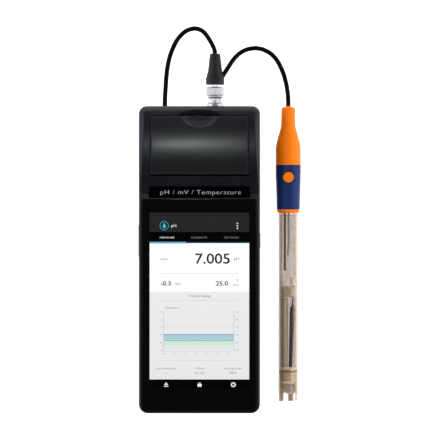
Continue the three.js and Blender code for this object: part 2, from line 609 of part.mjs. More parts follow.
function connectors() {
  add('bnc_socket', bncSocket(), nickel);
  add('bnc_nut', onJack(rod(5.9, 89.3, 91.2, 6).subtract(rod(5, 89, 92, 20)), JACK.bncX), nickel);
  add('bnc_contact', onJack(tube(1.9, 1.1, 90.4, 102, 16), JACK.bncX), gold);
  add('temp_socket', onJack(turned([[0, 86.5], [3.5, 86.5], [3.5, 93.6], [5.4, 93.6], [5.4, 94.7],
    [2.1, 94.7], [2.1, 87.4], [0, 87.4]], 20), JACK.tempX), blackPlastic);
  add('bnc_plug', bncPlug(), nickel);
  add('bnc_pin', onJack(rod(0.7, 96.6, 119, 12), JACK.bncX), gold);
  add('bnc_sleeve', bncSleeve(), nickel);
  add('cable_boot', cableBoot(), darkRubber);
  add('temp_plug_pin', onJack(rod(1.7, 88, 95.6, 16), JACK.tempX), nickel);
  add('temp_plug', onJack(turned([[0, 95.9], [4.2, 95.9], [4.4, 96.4], [4.4, 100.5], [2.7, 104.2],
    [0, 104.2]], 20), JACK.tempX), darkRubber);
  add('temp_lead', cord(tempLeadRoute, 24), darkRubber);
  add('electrode_cable_boot_end', cord(bootCableRoute, 10), darkRubber);
  add('electrode_cable_probe_end', cord(probeCableRoute, 16), darkRubber);
}

// ---- pH electrode, built along its own axis and laid on the table ----
function probeCap() {
  return turned([[0, 65.4], [8.5, 65.4], [8.6, 76.5], [8, 80.2], [6.2, 87], [5.2, 90.4], [4.9, 93],
    [4.7, 104.6], [0, 104.9]], 28);
}

function probeSleeve() {
  const body = turned([[5.95, 34.9], [7.9, 34.9], [8.1, 45], [8.55, 58], [8.6, 65.1], [5.95, 65.1],
    [5.95, 34.9]], 28);
  return body.subtract(barZ(3.7 + GAP, 0, 56.6, 0, 10, 16));
}

// The clear tube, with a narrower neck that the sleeve and the ring slide over.
function bodyTube() {
  const { tubeRadius, boreRadius } = PROBE;
  return turned([[boreRadius, -76.5], [tubeRadius, -76.5], [tubeRadius, 31.7], [5.6, 31.7],
    [5.6, 64.8], [4.4, 64.8], [4.4, 30], [boreRadius, 28], [boreRadius, -76.5]], 28);
}

// Five prongs around the bulb. The first is turned a little to the right of the top.
const PRONGS = { count: 5, first: 17.5, notch: 3.8, notchEnd: -91 };

function bulbGuard() {
  let body = tube(PROBE.tubeRadius, PROBE.boreRadius, PROBE.tip, -76.8, 30);
  const step = 360 / PRONGS.count;
  for (let i = 0; i < PRONGS.count; i += 1) {
    const notch = box(-PRONGS.notch / 2, PRONGS.notch / 2, -100, PRONGS.notchEnd, 3, 9);
    body = body.subtract(notch.rotate([0, PRONGS.first + (i + 0.5) * step, 0]));
  }
  return body;
}

function sensorStem() {
  return turned([[0, -92.6], [1.8, -92.2], [3.1, -90.6], [3.4, -88.6], [2.6, -86.6], [2, -86],
    [2, -85.8], [0, -85.8]], 20);
}

function probeParts() {
  const place = (name, body, material) => add(name, body, material, probe);
  place('probe_cap', probeCap(), orangePlastic);
  place('probe_sleeve', probeSleeve(), bluePlastic);
  place('refill_plug', barZ(3.7, 0, 56.6, 6.4, 8.75, 24), orangePlastic);
  place('seal_ring', tube(7.9, 5.95, 32, 34.5, 28), orangePlastic);
  place('body_tube', bodyTube(), clearPlastic);
  place('bulb_guard', bulbGuard(), clearPlastic);
  place('signal_wire', rod(0.65, -7.7, 63, 8).translate(-2.3, 0, 0), darkRubber);
  place('inner_tube', rod(0.75, 3.3, 63, 10).translate(0.1, 0, 0.4), whitePlastic);
  place('cable_seal', rod(1.9, -18, -11.8, 12).translate(3.1, 0, 0), creamPlastic);
  place('support_ring', rod(5.3, -25.5, -18.4, 24), creamPlastic);
  place('reference_rod', turned([[0, -73.8], [1.2, -73.8], [1.9, -33.4], [1.7, -25.9], [0, -25.9]], 16)
    .translate(3.1, 0, 0), brownRod);
  place('reference_fill', rod(2.3, -73.8, -25.9, 16).translate(-2.6, 0, 0), tanFill);
  place('sensor_mount', turned([[0, -85.4], [4.2, -85.4], [4.2, -84], [5.3, -83.4], [5.3, -80.6],
    [4.6, -80], [4.6, -78.6], [5.3, -78], [5.3, -74.2], [0, -74.2]], 24), gold);
  place('glass_bulb', sensorStem(), clearGlass);
}

function layProbe() {
  const rise = PROBE.sleeveRadius - PROBE.tubeRadius;
  const tilt = Math.asin(rise / (PROBE.restY - PROBE.tip));
  probe.rotation.x = tilt;
  const lift = 0.03;
  probe.position.set(PROBE.x, PROBE.restY * (1 - Math.cos(tilt)),
    PROBE.sleeveRadius - PROBE.restY * Math.sin(tilt) + lift);
}

casing();
electronics();
printer();
connectors();
probeParts();
layProbe();
meter.add(probe);

export default meter;
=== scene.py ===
"""Handheld pH meter with a printer hump, a BNC lead set and a pH electrode, lying on a pale table.

Lengths are in millimetres, in the frame's own axes, and turn into metres where a mesh is made.
"""
import json
import math

import bmesh
import bpy
from mathutils import Matrix, Vector


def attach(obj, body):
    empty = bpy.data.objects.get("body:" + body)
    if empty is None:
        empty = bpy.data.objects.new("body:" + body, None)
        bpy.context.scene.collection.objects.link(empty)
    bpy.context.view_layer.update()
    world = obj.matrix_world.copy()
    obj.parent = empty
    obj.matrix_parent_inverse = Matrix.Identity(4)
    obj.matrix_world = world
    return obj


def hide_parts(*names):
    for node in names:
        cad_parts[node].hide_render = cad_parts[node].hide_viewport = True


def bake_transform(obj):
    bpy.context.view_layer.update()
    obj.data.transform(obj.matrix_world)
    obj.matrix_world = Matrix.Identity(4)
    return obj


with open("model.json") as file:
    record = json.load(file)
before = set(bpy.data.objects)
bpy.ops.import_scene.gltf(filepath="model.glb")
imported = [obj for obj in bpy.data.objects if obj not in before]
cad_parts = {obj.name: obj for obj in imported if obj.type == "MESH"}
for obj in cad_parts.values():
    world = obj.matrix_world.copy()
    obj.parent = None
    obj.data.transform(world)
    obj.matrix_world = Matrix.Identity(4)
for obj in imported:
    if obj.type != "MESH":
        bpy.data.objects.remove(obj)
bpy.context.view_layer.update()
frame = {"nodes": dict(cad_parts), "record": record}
RECORD = frame["record"]
NODE_BODY = {node: body for body, nodes in RECORD["behaviour"]["bodies"].items() for node in nodes}
MM = 0.001

# ---- driving dimensions, the same as the frame's ----
HALF_WIDTH, HALF_LENGTH, DEPTH = 41.5, 105.25, 26.0
WALL, SPLIT, SEAM = 2.0, 16.0, 0.15
TOP_CORNER, BOTTOM_CORNER = 5.4, 6.2
BACK_EDGE, FRONT_EDGE, SIDE_BEVEL = 3.2, 1.2, 3.6
STEP_Y, APEX_Y, APEX_Z, ARCH = 45.9, 78.5, 40.0, 52.0
GLASS_X, GLASS_Y, GLASS_THICK = (-39.5, 39.0), (-103.1, 41.3), 1.1
LID_HALF, LID_Y, LID_THICK = 33.6, (59.6, 98.4), 2.0
APERTURE_HALF, APERTURE_Y = 34.0, (57.2, 98.8)
HINGE_Y, HINGE_Z = 60.1, 34.6
ROLL_Y, ROLL_Z = 70.8, 22.2
PLATEN_Y, PLATEN_Z = 92.1, 26.5
JACK_Z, BNC_X, TEMP_X = 8.2, 10.7, -23.7
BNC_AT, TEMP_AT = (BNC_X, 0, JACK_Z), (TEMP_X, 0, JACK_Z)
HINGE_AT, PLATEN_AT, ROLL_AT = (0, HINGE_Y, HINGE_Z), (0, PLATEN_Y, PLATEN_Z), (0, ROLL_Y, ROLL_Z)
CORD_RADIUS = 1.6


def new_object(name, data):
    obj = bpy.data.objects.new(name, data)
    bpy.context.collection.objects.link(obj)
    return obj


# ---- camera ----
CAMERA_HEIGHT, WIDTH_SEEN, CAMERA_CLIP = 14, 0.3014, (0.05, 30.0)  # metres
VIEW_CENTRE = (14.1, 27.2, DEPTH)


def make_camera():
    """A long lens looks straight down on the middle of the meter and its electrode."""
    target = Vector(VIEW_CENTRE) * MM
    data = bpy.data.cameras.new("camera")
    data.sensor_width = 36.0
    data.lens = data.sensor_width * CAMERA_HEIGHT / WIDTH_SEEN
    data.clip_start, data.clip_end = CAMERA_CLIP
    camera = new_object("camera", data)
    camera.location = target + Vector((0, 0, CAMERA_HEIGHT))
    bpy.context.scene.camera = camera


make_camera()


# ---- mesh tools ----
def mesh_object(name, points, faces):
    mesh = bpy.data.meshes.new(name)
    mesh.from_pydata([Vector(p) * MM for p in points], [], faces)
    return new_object(name, mesh)


def edit(obj, work):
    """Runs work on the object's mesh as a bmesh and writes it back."""
    bm = bmesh.new()
    bm.from_mesh(obj.data)
    work(bm)
    bm.to_mesh(obj.data)
    bm.free()
    return obj


def placed(at, angle, axis):
    """Turns by the angle in degrees about the axis, then moves to the place."""
    return Matrix.Translation(Vector(at) * MM) @ Matrix.Rotation(math.radians(angle), 4, axis)


def face_outward(obj):
    return edit(obj, lambda bm: bmesh.ops.recalc_face_normals(bm, faces=bm.faces))


def smooth(obj, angle=32):
    obj.data.shade_smooth()
    obj.data.set_sharp_from_angle(angle=math.radians(angle))
    return obj


def soften(obj, width, segments, angle=38, where=None):
    """Bevels the edges that are sharper than the angle."""
    def work(bm):
        limit = math.radians(angle)
        edges = [e for e in bm.edges if len(e.link_faces) == 2 and e.calc_face_angle(0) > limit
                 and (where is None or where((e.verts[0].co + e.verts[1].co) / (2 * MM)))]
        bmesh.ops.bevel(bm, geom=edges, offset=width * MM, segments=segments, profile=0.5,
                        affect="EDGES", clamp_overlap=True)
    return smooth(edit(obj, work))


WELD_METRES = 1e-7


def weld(bm):
    bmesh.ops.remove_doubles(bm, verts=bm.verts, dist=WELD_METRES)


def tidy_mesh(obj, distance=0.01):
    def work(bm):
        bmesh.ops.remove_doubles(bm, verts=bm.verts, dist=distance * MM)
        bmesh.ops.dissolve_degenerate(bm, edges=bm.edges, dist=distance * MM)
    return edit(obj, work)


def combine(obj, others, operation):
    """Joins or cuts with the other closed bodies, which are used up."""
    for other in others:
        modifier = obj.modifiers.new(operation, "BOOLEAN")
        modifier.operation = operation
        modifier.solver = "MANIFOLD"
        modifier.object = other
    bpy.context.view_layer.update()
    graph = bpy.context.evaluated_depsgraph_get()
    mesh = bpy.data.meshes.new_from_object(obj.evaluated_get(graph))
    obj.modifiers.clear()
    obj.data = mesh
    for other in others:
        bpy.data.objects.remove(other)
    return obj


def cut(obj, *others):
    return combine(obj, others, "DIFFERENCE")


def join(obj, *others):
    return combine(obj, others, "UNION")


def merge(name, objects):
    """One object that holds several bodies which don't overlap."""
    bm = bmesh.new()
    for obj in objects:
        obj.data.transform(obj.matrix_world)
        bm.from_mesh(obj.data)
        bpy.data.objects.remove(obj)
    mesh = bpy.data.meshes.new(name)
    bm.to_mesh(mesh)
    bm.free()
    return new_object(name, mesh)


def rounded(points, closed=False, steps=4):
    """Rounds the corners of an outline. A point's third value is its corner's radius."""
    result = []
    last = len(points) - 1
    for i, point in enumerate(points):
        corner = Vector(point[:2])
        radius = point[2] if len(point) > 2 else 0
        if not radius or (not closed and i in (0, last)):
            result.append(tuple(corner))
            continue
        before = Vector(points[i - 1][:2]) - corner
        after = Vector(points[0 if i == last else i + 1][:2]) - corner
        half = before.angle(after) / 2
        reach = min(radius / math.tan(half), before.length * 0.49, after.length * 0.49)
        bisector = (before.normalized() + after.normalized()).normalized()
        centre = corner + bisector * (reach / math.cos(half))
        first = corner + before.normalized() * reach - centre
        second = corner + after.normalized() * reach - centre
        sweep = first.angle(second)
        for k in range(steps + 1):
            share = k / steps
            mix = first * math.sin((1 - share) * sweep) + second * math.sin(share * sweep)
            result.append(tuple(centre + mix / math.sin(sweep)))
    return result


AXES = {
    "X": lambda u, v, along: (along, u, v),
    "Y": lambda u, v, along: (u, along, v),
    "Z": lambda u, v, along: (u, v, along),
}


def loft(name, rings):
    """A closed body through rings of equal point count, filled at both ends."""
    count = len(rings[0])
    points = [p for ring in rings for p in ring]
    faces = []
    for s in range(len(rings) - 1):
        for i in range(count):
            j = (i + 1) % count
            faces.append((s * count + i, s * count + j, (s + 1) * count + j, (s + 1) * count + i))
    faces.append(tuple(reversed(range(count))))
    faces.append(tuple((len(rings) - 1) * count + i for i in range(count)))
    return face_outward(mesh_object(name, points, faces))


def span(side, a, b):
    """The two ends, in order, on the side with the sign of side."""
    return tuple(sorted((side * a, side * b)))


def prism(name, outline, low, high, axis="Z", steps=4):
    """An outline in the two other axes, in their own order, from low to high."""
    place = AXES[axis]
    edge = rounded(outline, True, steps)
    return loft(name, [[place(u, v, along) for u, v in edge] for along in (low, high)])


def block(name, x, y, z, corner=0.0, axis="Z"):
    """A bar with its corners rounded about one axis."""
    spans = {"X": (y, z, x), "Y": (x, z, y), "Z": (x, y, z)}[axis]
    (u0, u1), (v0, v1), (low, high) = spans
    outline = [(u0, v0, corner), (u1, v0, corner), (u1, v1, corner), (u0, v1, corner)]
    return prism(name, outline, low, high, axis)


def turned(name, profile, axis="Y", at=(0, 0, 0), sides=64, closed=False, steps=4):
    """A turned body. The profile is (radius, along) points, from axis to axis or closed on itself."""
    place = AXES[axis]
    bm = bmesh.new()
    verts = [bm.verts.new(Vector(place(r, 0, a)) * MM) for r, a in rounded(profile, closed, steps)]
    pairs = list(zip(verts, verts[1:]))
    if closed:
        pairs.append((verts[-1], verts[0]))
    edges = [bm.edges.new(pair) for pair in pairs]
    bmesh.ops.spin(bm, geom=verts + edges, cent=(0, 0, 0), axis=Vector(place(0, 0, 1)),
                   angle=2 * math.pi, steps=sides, use_merge=True)
    weld(bm)
    bmesh.ops.recalc_face_normals(bm, faces=bm.faces)
    bmesh.ops.translate(bm, verts=bm.verts, vec=Vector(at) * MM)
    mesh = bpy.data.meshes.new(name)
    bm.to_mesh(mesh)
    bm.free()
    return new_object(name, mesh)


def bar(name, radius, low, high, axis="X", at=(0, 0, 0), edge=0.15, sides=48):
    """A round bar with softened ends."""
    return turned(name, [(0, low), (radius, low, edge), (radius, high, edge), (0, high)], axis, at, sides)


def ring(name, outer, inner, low, high, axis="X", at=(0, 0, 0), edge=0.12, sides=64):
    profile = [(inner, low, edge), (outer, low, edge), (outer, high, edge), (inner, high, edge)]
    return turned(name, profile, axis, at, sides, closed=True)


def smooth_path(points, steps=6):
    """A smooth curve through the points, dense enough to be measured."""
    result = []
    padded = [points[0], *points, points[-1]]
    for i in range(1, len(padded) - 2):
        a, b, c, d = (Vector(p) for p in padded[i - 1:i + 3])
        for k in range(steps):
            t = k / steps
            result.append(0.5 * ((2 * b) + (c - a) * t + (2 * a - 5 * b + 4 * c - d) * t ** 2
                                 + (3 * b - a - 3 * c + d) * t ** 3))
    result.append(Vector(points[-1]))
    return result


def sweep_tube(name, path, radius):
    """A round tube along a dense path, closed at both ends, with no twist."""
    rings, sides = [], 20
    side = Vector((0, 0, 1))
    for i, point in enumerate(path):
        forward = (path[min(i + 1, len(path) - 1)] - path[max(i - 1, 0)]).normalized()
        side = (side - forward * side.dot(forward)).normalized()
        other = forward.cross(side)
        angles = [2 * math.pi * k / sides for k in range(sides)]
        rings.append([point + (side * math.cos(a) + other * math.sin(a)) * radius for a in angles])
    return smooth(loft(name, rings), 60)


def refined(node, width, segments=2, name=None):
    """The frame's own solid for a node as one welded mesh with softened edges."""
    obj = new_object(name or node + "_piece", frame["nodes"][node].data.copy())
    if "custom_normal" in obj.data.attributes:
        obj.data.attributes.remove(obj.data.attributes["custom_normal"])

    def work(bm):
        bmesh.ops.remove_doubles(bm, verts=bm.verts, dist=1e-6)
        bmesh.ops.dissolve_limit(bm, angle_limit=math.radians(0.5), verts=bm.verts, edges=bm.edges)
        bmesh.ops.recalc_face_normals(bm, faces=bm.faces)
    edit(obj, work)
    return soften(obj, width, segments, 25)


def finish_surface(obj, material):
    """One material, given itself or by its key, and normals that keep large flat faces flat."""
    obj.data.materials.clear()
    obj.data.materials.append(MATERIAL.get(material, material))
    modifier = obj.modifiers.new("weighted_normals", "WEIGHTED_NORMAL")
    modifier.keep_sharp = True
    modifier.weight = 90


def stand_for(obj, material, *nodes):
    """The piece takes the place of CAD nodes, with the body of the first."""
    finish_surface(obj, material)
    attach(obj, NODE_BODY[nodes[0]])
    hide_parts(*nodes)
    return obj


def detail(obj, material, node):
    """An extra piece that moves with a node."""
    finish_surface(obj, material)
    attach(obj, NODE_BODY[node])
    return obj


# ---- materials ----
def principled(name, color, roughness, metallic=0.0, **sockets):
    """A Principled material. Extra sockets are given by name with underscores for spaces."""
    material = bpy.data.materials.new(name)
    material.use_nodes = True
    shader = material.node_tree.nodes["Principled BSDF"]
    shader.inputs["Base Color"].default_value = (*color, 1.0)
    shader.inputs["Roughness"].default_value = roughness
    shader.inputs["Metallic"].default_value = metallic
    for key, value in sockets.items():
        shader.inputs[key.replace("_", " ")].default_value = value
    return material


def add_node(material, kind, **values):
    node = material.node_tree.nodes.new(kind)
    for key, value in values.items():
        node.inputs[key.replace("_", " ")].default_value = value
    return node


def link(material, source, target):
    material.node_tree.links.new(source, target)


def shader_of(material):
    return material.node_tree.nodes["Principled BSDF"]


def grain(material, scale, detail_levels=3.0, stretch=(1, 1, 1)):
    """Noise in object space, so that its grain has the same size on every piece."""
    place = add_node(material, "ShaderNodeTexCoord")
    mapping = add_node(material, "ShaderNodeMapping", Scale=stretch)
    texture = add_node(material, "ShaderNodeTexNoise", Scale=scale, Detail=detail_levels)
    link(material, place.outputs["Object"], mapping.inputs["Vector"])
    link(material, mapping.outputs["Vector"], texture.inputs["Vector"])
    return texture.outputs["Fac"]


def bump(material, height, strength, distance):
    node = add_node(material, "ShaderNodeBump", Strength=strength, Distance=distance)
    link(material, height, node.inputs["Height"])
    link(material, node.outputs["Normal"], shader_of(material).inputs["Normal"])


def vary(material, value, low, high, socket="Roughness"):
    """Maps a texture value to a range and feeds one input of the shader."""
    node = add_node(material, "ShaderNodeMapRange", To_Min=low, To_Max=high)
    link(material, value, node.inputs["Value"])
    link(material, node.outputs["Result"], shader_of(material).inputs[socket])


TONE_STOPS = (0.3, 0.7)


def tint(material, value, dark, light):
    """Colour that wanders between two close tones."""
    ramp = add_node(material, "ShaderNodeValToRGB")
    for stop, place, tone in zip(ramp.color_ramp.elements, TONE_STOPS, (dark, light)):
        stop.position = place
        stop.color = (*tone, 1)
    link(material, value, ramp.inputs["Fac"])
    link(material, ramp.outputs["Color"], shader_of(material).inputs["Base Color"])


def plastic(name, color, roughness, scale=1500, strength=0.1, spread=0.05, shade=0.85, gloss=0.5,
            **sockets):
    """Moulded plastic: a fine spark-eroded grain, slightly uneven roughness and tone."""
    material = principled(name, color, roughness, Specular_IOR_Level=gloss, **sockets)
    bump(material, grain(material, scale, 2), strength, 0.00008)
    vary(material, grain(material, 60), roughness - spread, roughness + spread)
    tint(material, grain(material, 35), [c * shade for c in color], color)
    return material


def metal(name, color, roughness, stretch=(1, 1, 1)):
    """Plated metal with fine turning or drawing marks along one direction."""
    material = principled(name, color, roughness, 1.0)
    marks = grain(material, 900, 4, stretch)
    bump(material, marks, 0.08, 0.00005)
    vary(material, marks, roughness * 0.75, roughness * 1.3)
    tint(material, grain(material, 120), [c * 0.9 for c in color], color)
    return material


CLEAR_ROUGHNESS, CLEAR_IOR, CLEAR_GLOSS = 0.1, 1.45, 0.15
CLEAR_BLEND, CLEAR_CORE = 0.55, 0.1


def clear(name, color, alpha, rim):
    """A thin clear wall: seen through face on, and denser where it turns away at its sides."""
    material = principled(name, color, CLEAR_ROUGHNESS, IOR=CLEAR_IOR, Specular_IOR_Level=CLEAR_GLOSS)
    facing = add_node(material, "ShaderNodeLayerWeight", Blend=CLEAR_BLEND)
    density = add_node(material, "ShaderNodeMapRange", From_Min=CLEAR_CORE, To_Min=alpha, To_Max=rim)
    link(material, facing.outputs["Facing"], density.inputs["Value"])
    link(material, density.outputs["Result"], shader_of(material).inputs["Alpha"])
    bump(material, grain(material, 40, 2, (1, 0.15, 1)), 0.02, 0.0004)
    return material


def gel(name, dark, light, thin, thick):
    """Streaky electrolyte gel, a little uneven along the electrode."""
    material = plastic(name, light, 0.35, 300, 0.05, gloss=0.2)
    streaks = grain(material, 420, 2, (1, 0.015, 1))
    tint(material, streaks, dark, light)
    vary(material, streaks, thin, thick, "Alpha")
    return material


def column():
    """Packed salt column: olive and tan streaks along the electrode."""
    material = plastic("packed_column", (0.4, 0.29, 0.16), 0.5, 90, 0.2)
    tint(material, grain(material, 620, 2, (1, 0.012, 1)), (0.24, 0.17, 0.075), (0.56, 0.43, 0.28))
    return material


def build_materials():
    return {
        "body": plastic("black_body", (0.0016, 0.0017, 0.0026), 0.42, strength=0.16, gloss=0.27,
                        Specular_Tint=(0.82, 0.87, 1, 1)),
        "lid": plastic("black_lid", (0.0034, 0.0039, 0.0043), 0.36, strength=0.1, gloss=0.32,
                       Specular_Tint=(0.93, 0.98, 1, 1)),
        "key": plastic("black_key", (0.003, 0.003, 0.0036), 0.34, gloss=0.3),
        "label": plastic("label_black", (0.0003, 0.0003, 0.0004), 0.5, strength=0.03, gloss=0.01),
        "glass": plastic("cover_glass", (0.0006, 0.0006, 0.001), 0.05, strength=0.001, spread=0.01,
                         gloss=0.3),
        "rubber": plastic("black_rubber", (0.0075, 0.0075, 0.0085), 0.5, 1100, 0.2, gloss=0.2),
        "cable": plastic("cable_jacket", (0.0006, 0.0006, 0.0007), 0.45, 1400, 0.08, gloss=0.05),
        "nickel": metal("nickel_plate", (0.74, 0.74, 0.75), 0.45, (1, 6, 1)),
        "knurl": metal("nickel_knurl", (0.45, 0.45, 0.46), 0.4),
        "gel": gel("electrolyte_gel", (0.42, 0.25, 0.14), (0.9, 0.77, 0.64), 0.26, 0.7),
        "tip_gel": gel("tip_gel", (0.36, 0.24, 0.13), (0.62, 0.44, 0.28), 0.75, 0.95),
        "gold": metal("gold_plate", (0.86, 0.6, 0.22), 0.26),
        # Blackened steel, made nearly black so that the hinge pin in the lid's gap shows dark: a real finish
        # and partly painted shade.
        "dark_steel": metal("blackened_steel_and_gap_shade", (0.004, 0.004, 0.0045), 0.4, (6, 1, 1)),
        "panel": plastic("display_panel", (0.75, 0.78, 0.8), 0.3, 2000, 0.03, shade=0.97),
        "steel": metal("plated_steel", (0.5, 0.51, 0.52), 0.32, (6, 1, 1)),
        "board": plastic("solder_mask", (0.012, 0.09, 0.035), 0.4, 2500, 0.06, shade=0.7),
        "battery": plastic("battery_wrap", (0.02, 0.05, 0.14), 0.32, 700, 0.05),
        "paper": plastic("thermal_paper", (0.86, 0.85, 0.81), 0.75, 2600, 0.12, shade=0.97),
        "card": plastic("card_core", (0.46, 0.36, 0.26), 0.85, 1500, 0.3),
        "acetal": plastic("black_acetal", (0.02, 0.02, 0.022), 0.4, 900, 0.04),
        "ceramic": plastic("head_ceramic", (0.008, 0.006, 0.006), 0.35, 1200, 0.04, gloss=0.05),
        "orange": plastic("orange_moulding", (1.0, 0.205, 0.003), 0.42, 700, 0.06, shade=0.98, gloss=0.12),
        "blue": plastic("blue_moulding", (0.0068, 0.0245, 0.122), 0.42, 700, 0.08, shade=0.88, gloss=0.12),
        "tube": clear("clear_tube", (0.56, 0.44, 0.36), 0.04, 0.9),
        "guard": clear("clear_guard", (0.5, 0.37, 0.25), 0.16, 0.9),
        "seam": clear("seam_ring", (0.12, 0.09, 0.07), 0.25, 0.97),
        "lens": clear("clear_lens", (0.02, 0.02, 0.025), 0.8, 0.95),
        "bulb": clear("bulb_glass", (0.78, 0.72, 0.62), 0.25, 0.7),
        "cream": plastic("cream_seal", (0.76, 0.64, 0.47), 0.5, 500, 0.1, shade=0.9),
        "ring": plastic("tan_ring", (0.58, 0.42, 0.28), 0.42, 400, 0.1, shade=0.85),
        "rod": plastic("brown_rod", (0.014, 0.007, 0.004), 0.4, 300, 0.1, shade=0.6, gloss=0.1),
        "fill": column(),
        "wire": plastic("brown_wire", (0.06, 0.038, 0.03), 0.45, 500, 0.1),
        # The inner tube's light grey is a painted highlight: it stands for the light stripe along the tube.
        "inner_tube_highlight": plastic("inner_tube_painted_highlight", (0.26, 0.25, 0.27), 0.45, 300, 0.1, shade=0.7),
        "thread": plastic("bronze_thread", (1.0, 0.8, 0.54), 0.26, 300, 0.06, shade=0.85, Metallic=0.3),
    }


MATERIAL = build_materials()


# ---- cords ----
TEMP_ROUTE = [
    (-23.7, 104.6, 8.2), (-23.7, 107.6, 8.1), (-23.6, 111.2, 7.0), (-23.4, 115, 5.0), (-23.1, 119.5, 3.0),
    (-22.8, 124.5, 1.95), (-22.2, 130, 1.65), (-21, 136.8, 1.65), (-18.8, 143.7, 1.65),
    (-16.2, 149.2, 1.65), (-13, 153.6, 1.65), (-8.9, 157.0, 1.65), (-3.4, 158.6, 1.65),
    (1.4, 157.3, 1.95), (4.6, 154.2, 3.0), (7.0, 150.6, 4.9), (8.8, 147.4, 6.6), (10.1, 144.4, 7.8),
    (10.7, 141.6, 8.2),
]
ELECTRODE_ROUTE = [
    (15.62, 125.44, 8.2), (17.2, 127.9, 8.2), (18.8, 130.4, 7.9), (20.7, 133.4, 6.9), (22.9, 136.7, 5.4),
    (25.5, 139.7, 3.6), (29, 142.5, 2.2), (33.3, 144.4, 1.7), (37.9, 145.1, 1.65), (38.9, 145.1, 1.65),
    (42.9, 144.4, 1.65), (47.7, 142.2, 1.65), (51.2, 139.2, 1.65), (53.6, 136.1, 1.65),
    (55.4, 132.8, 1.7), (57.4, 128.2, 2.1), (59, 122.8, 3.2), (60.1, 117.4, 5.2), (60.7, 112.4, 7.5),
    (60.9, 108.8, 8.7), (60.9, 105.3, 9.0),
]


def make_cords():
    """The temperature lead loops from its plug into the boot; the other cable ends in the electrode."""
    temp_path = smooth_path(TEMP_ROUTE)
    temp = sweep_tube("temperature_lead", temp_path, CORD_RADIUS)
    stand_for(temp, "cable", "temp_lead")
    cable_path = smooth_path(ELECTRODE_ROUTE)
    cable = sweep_tube("electrode_cable", cable_path, CORD_RADIUS)
    cable.data.materials.append(MATERIAL["cable"])
    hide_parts("electrode_cable_boot_end", "electrode_cable_probe_end")
    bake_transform(cable)


# ---- casing ----
def grid(wide, deep):
    """The faces of a grid of points that are given row by row, and the points along its rim."""
    starts = [j * wide + i for j in range(deep - 1) for i in range(wide - 1)]
    last = (deep - 1) * wide
    rim = list(range(wide)) + [j * wide + wide - 1 for j in range(1, deep)]
    rim += [last + i for i in range(wide - 2, -1, -1)] + [j * wide for j in range(deep - 2, 0, -1)]
    return [(a, a + 1, a + wide + 1, a + wide) for a in starts], rim


def arch(y, inset=0.0):
    radius = ARCH - inset
    return APEX_Z - ARCH + math.sqrt(radius ** 2 - (y - APEX_Y) ** 2)


def half_width(y, inset):
    """Half the casing's width at y, with its rounded corners."""
    radius = (TOP_CORNER if y > 0 else BOTTOM_CORNER) - inset
    beyond = abs(y) - (HALF_LENGTH - inset - radius)
    if beyond <= 0:
        return HALF_WIDTH - inset
    return HALF_WIDTH - inset - radius + math.sqrt(max(radius ** 2 - beyond ** 2, 0))


def depth_inside(x, y, inset):
    """How far a point of the plan lies inside the casing's outline."""
    radius = (TOP_CORNER if y > 0 else BOTTOM_CORNER) - inset
    qx = abs(x) - (HALF_WIDTH - inset - radius)
    qy = abs(y) - (HALF_LENGTH - inset - radius)
    return radius - math.hypot(max(qx, 0), max(qy, 0)) - min(max(qx, qy), 0)


BEVEL_FULL_Y = 91


def side_bevel(y):
    """The bevel along the printer's sides widens from the step towards the connector end."""
    share = min(max((y - STEP_Y) / (BEVEL_FULL_Y - STEP_Y), 0), 1)
    return FRONT_EDGE + (SIDE_BEVEL - FRONT_EDGE) * share


def bevel_drop(depth, width):
    """Half a flat chamfer and half a round, so that its inner edge shows as a soft line."""
    left = 1 - min(max(depth / width, 0), 1)
    return width * (0.5 * left + 0.5 * (1 - math.sqrt(1 - left ** 2)))


EDGE_SHARES = (0, 0.02, 0.06, 0.12, 0.2, 0.3, 0.42, 0.56, 0.7, 0.84, 0.95, 1.0, 1.06, 1.2)
END_DEPTHS = (0, 0.03, 0.08, 0.18, 0.32, 0.5, 0.75, 1.0, 1.25, 1.8, 2.6, 3.6, 4.8, 6.2, 10)
STEP_CURVE = ((0.9, 0.02), (0.5, 0.1), (0.22, 0.3), (0.05, 0.7), (0, 1.2))  # (drop below the arch, distance)
ARCH_PITCH, THINNEST_BEVEL = 0.9, 0.4


def casing_stations(inset):
    """(y, top, bevel) from the bottom end, over the step above the screen, to the connector end."""
    end = HALF_LENGTH - inset
    flat = DEPTH - inset
    edge = max(FRONT_EDGE - inset, THINNEST_BEVEL)
    stations = [(-end + d, flat, edge) for d in END_DEPTHS]
    stations += [(y, flat, edge) for y in (-60, -20, 20, STEP_Y + inset)]
    for drop, y in STEP_CURVE:
        y += STEP_Y + inset
        stations.append((y, arch(y, inset) - drop, edge))
    y = STEP_Y + inset + 2.0
    while y < end - 6:
        stations.append((y, arch(y, inset), max(side_bevel(y) - inset, THINNEST_BEVEL)))
        y += ARCH_PITCH
    bevel = max(SIDE_BEVEL - inset, THINNEST_BEVEL)
    tail = [5.6, 5.0, 4.4] + [bevel * s for s in reversed(EDGE_SHARES)]
    stations += [(end - d, arch(end - d, inset), bevel) for d in tail]
    return stations


def upper_solid(name, inset, floor):
    """Everything of the casing above the floor height, as one closed body."""
    rows = []
    for y, top, bevel in casing_stations(inset):
        wide = half_width(y, inset)
        crease = wide - 1.2 * bevel
        inner = min(APERTURE_HALF, crease - 0.3)
        right = [inner * s for s in (0, 0.25, 0.5, 0.7, 0.85, 1)]
        right += [wide - bevel * s for s in reversed(EDGE_SHARES)]
        xs = [-x for x in reversed(right[1:])] + right
        rows.append([(x, y, top - bevel_drop(depth_inside(x, y, inset), bevel)) for x in xs])
    points = [p for row in rows for p in row]
    faces, rim = grid(len(rows[0]), len(rows))
    base = len(points)
    points += [(points[i][0], points[i][1], floor) for i in rim]
    size = len(rim)
    faces += [(rim[i], rim[(i + 1) % size], base + (i + 1) % size, base + i) for i in range(size)]
    faces.append(tuple(range(base, base + size)))
    return face_outward(mesh_object(name, points, faces))


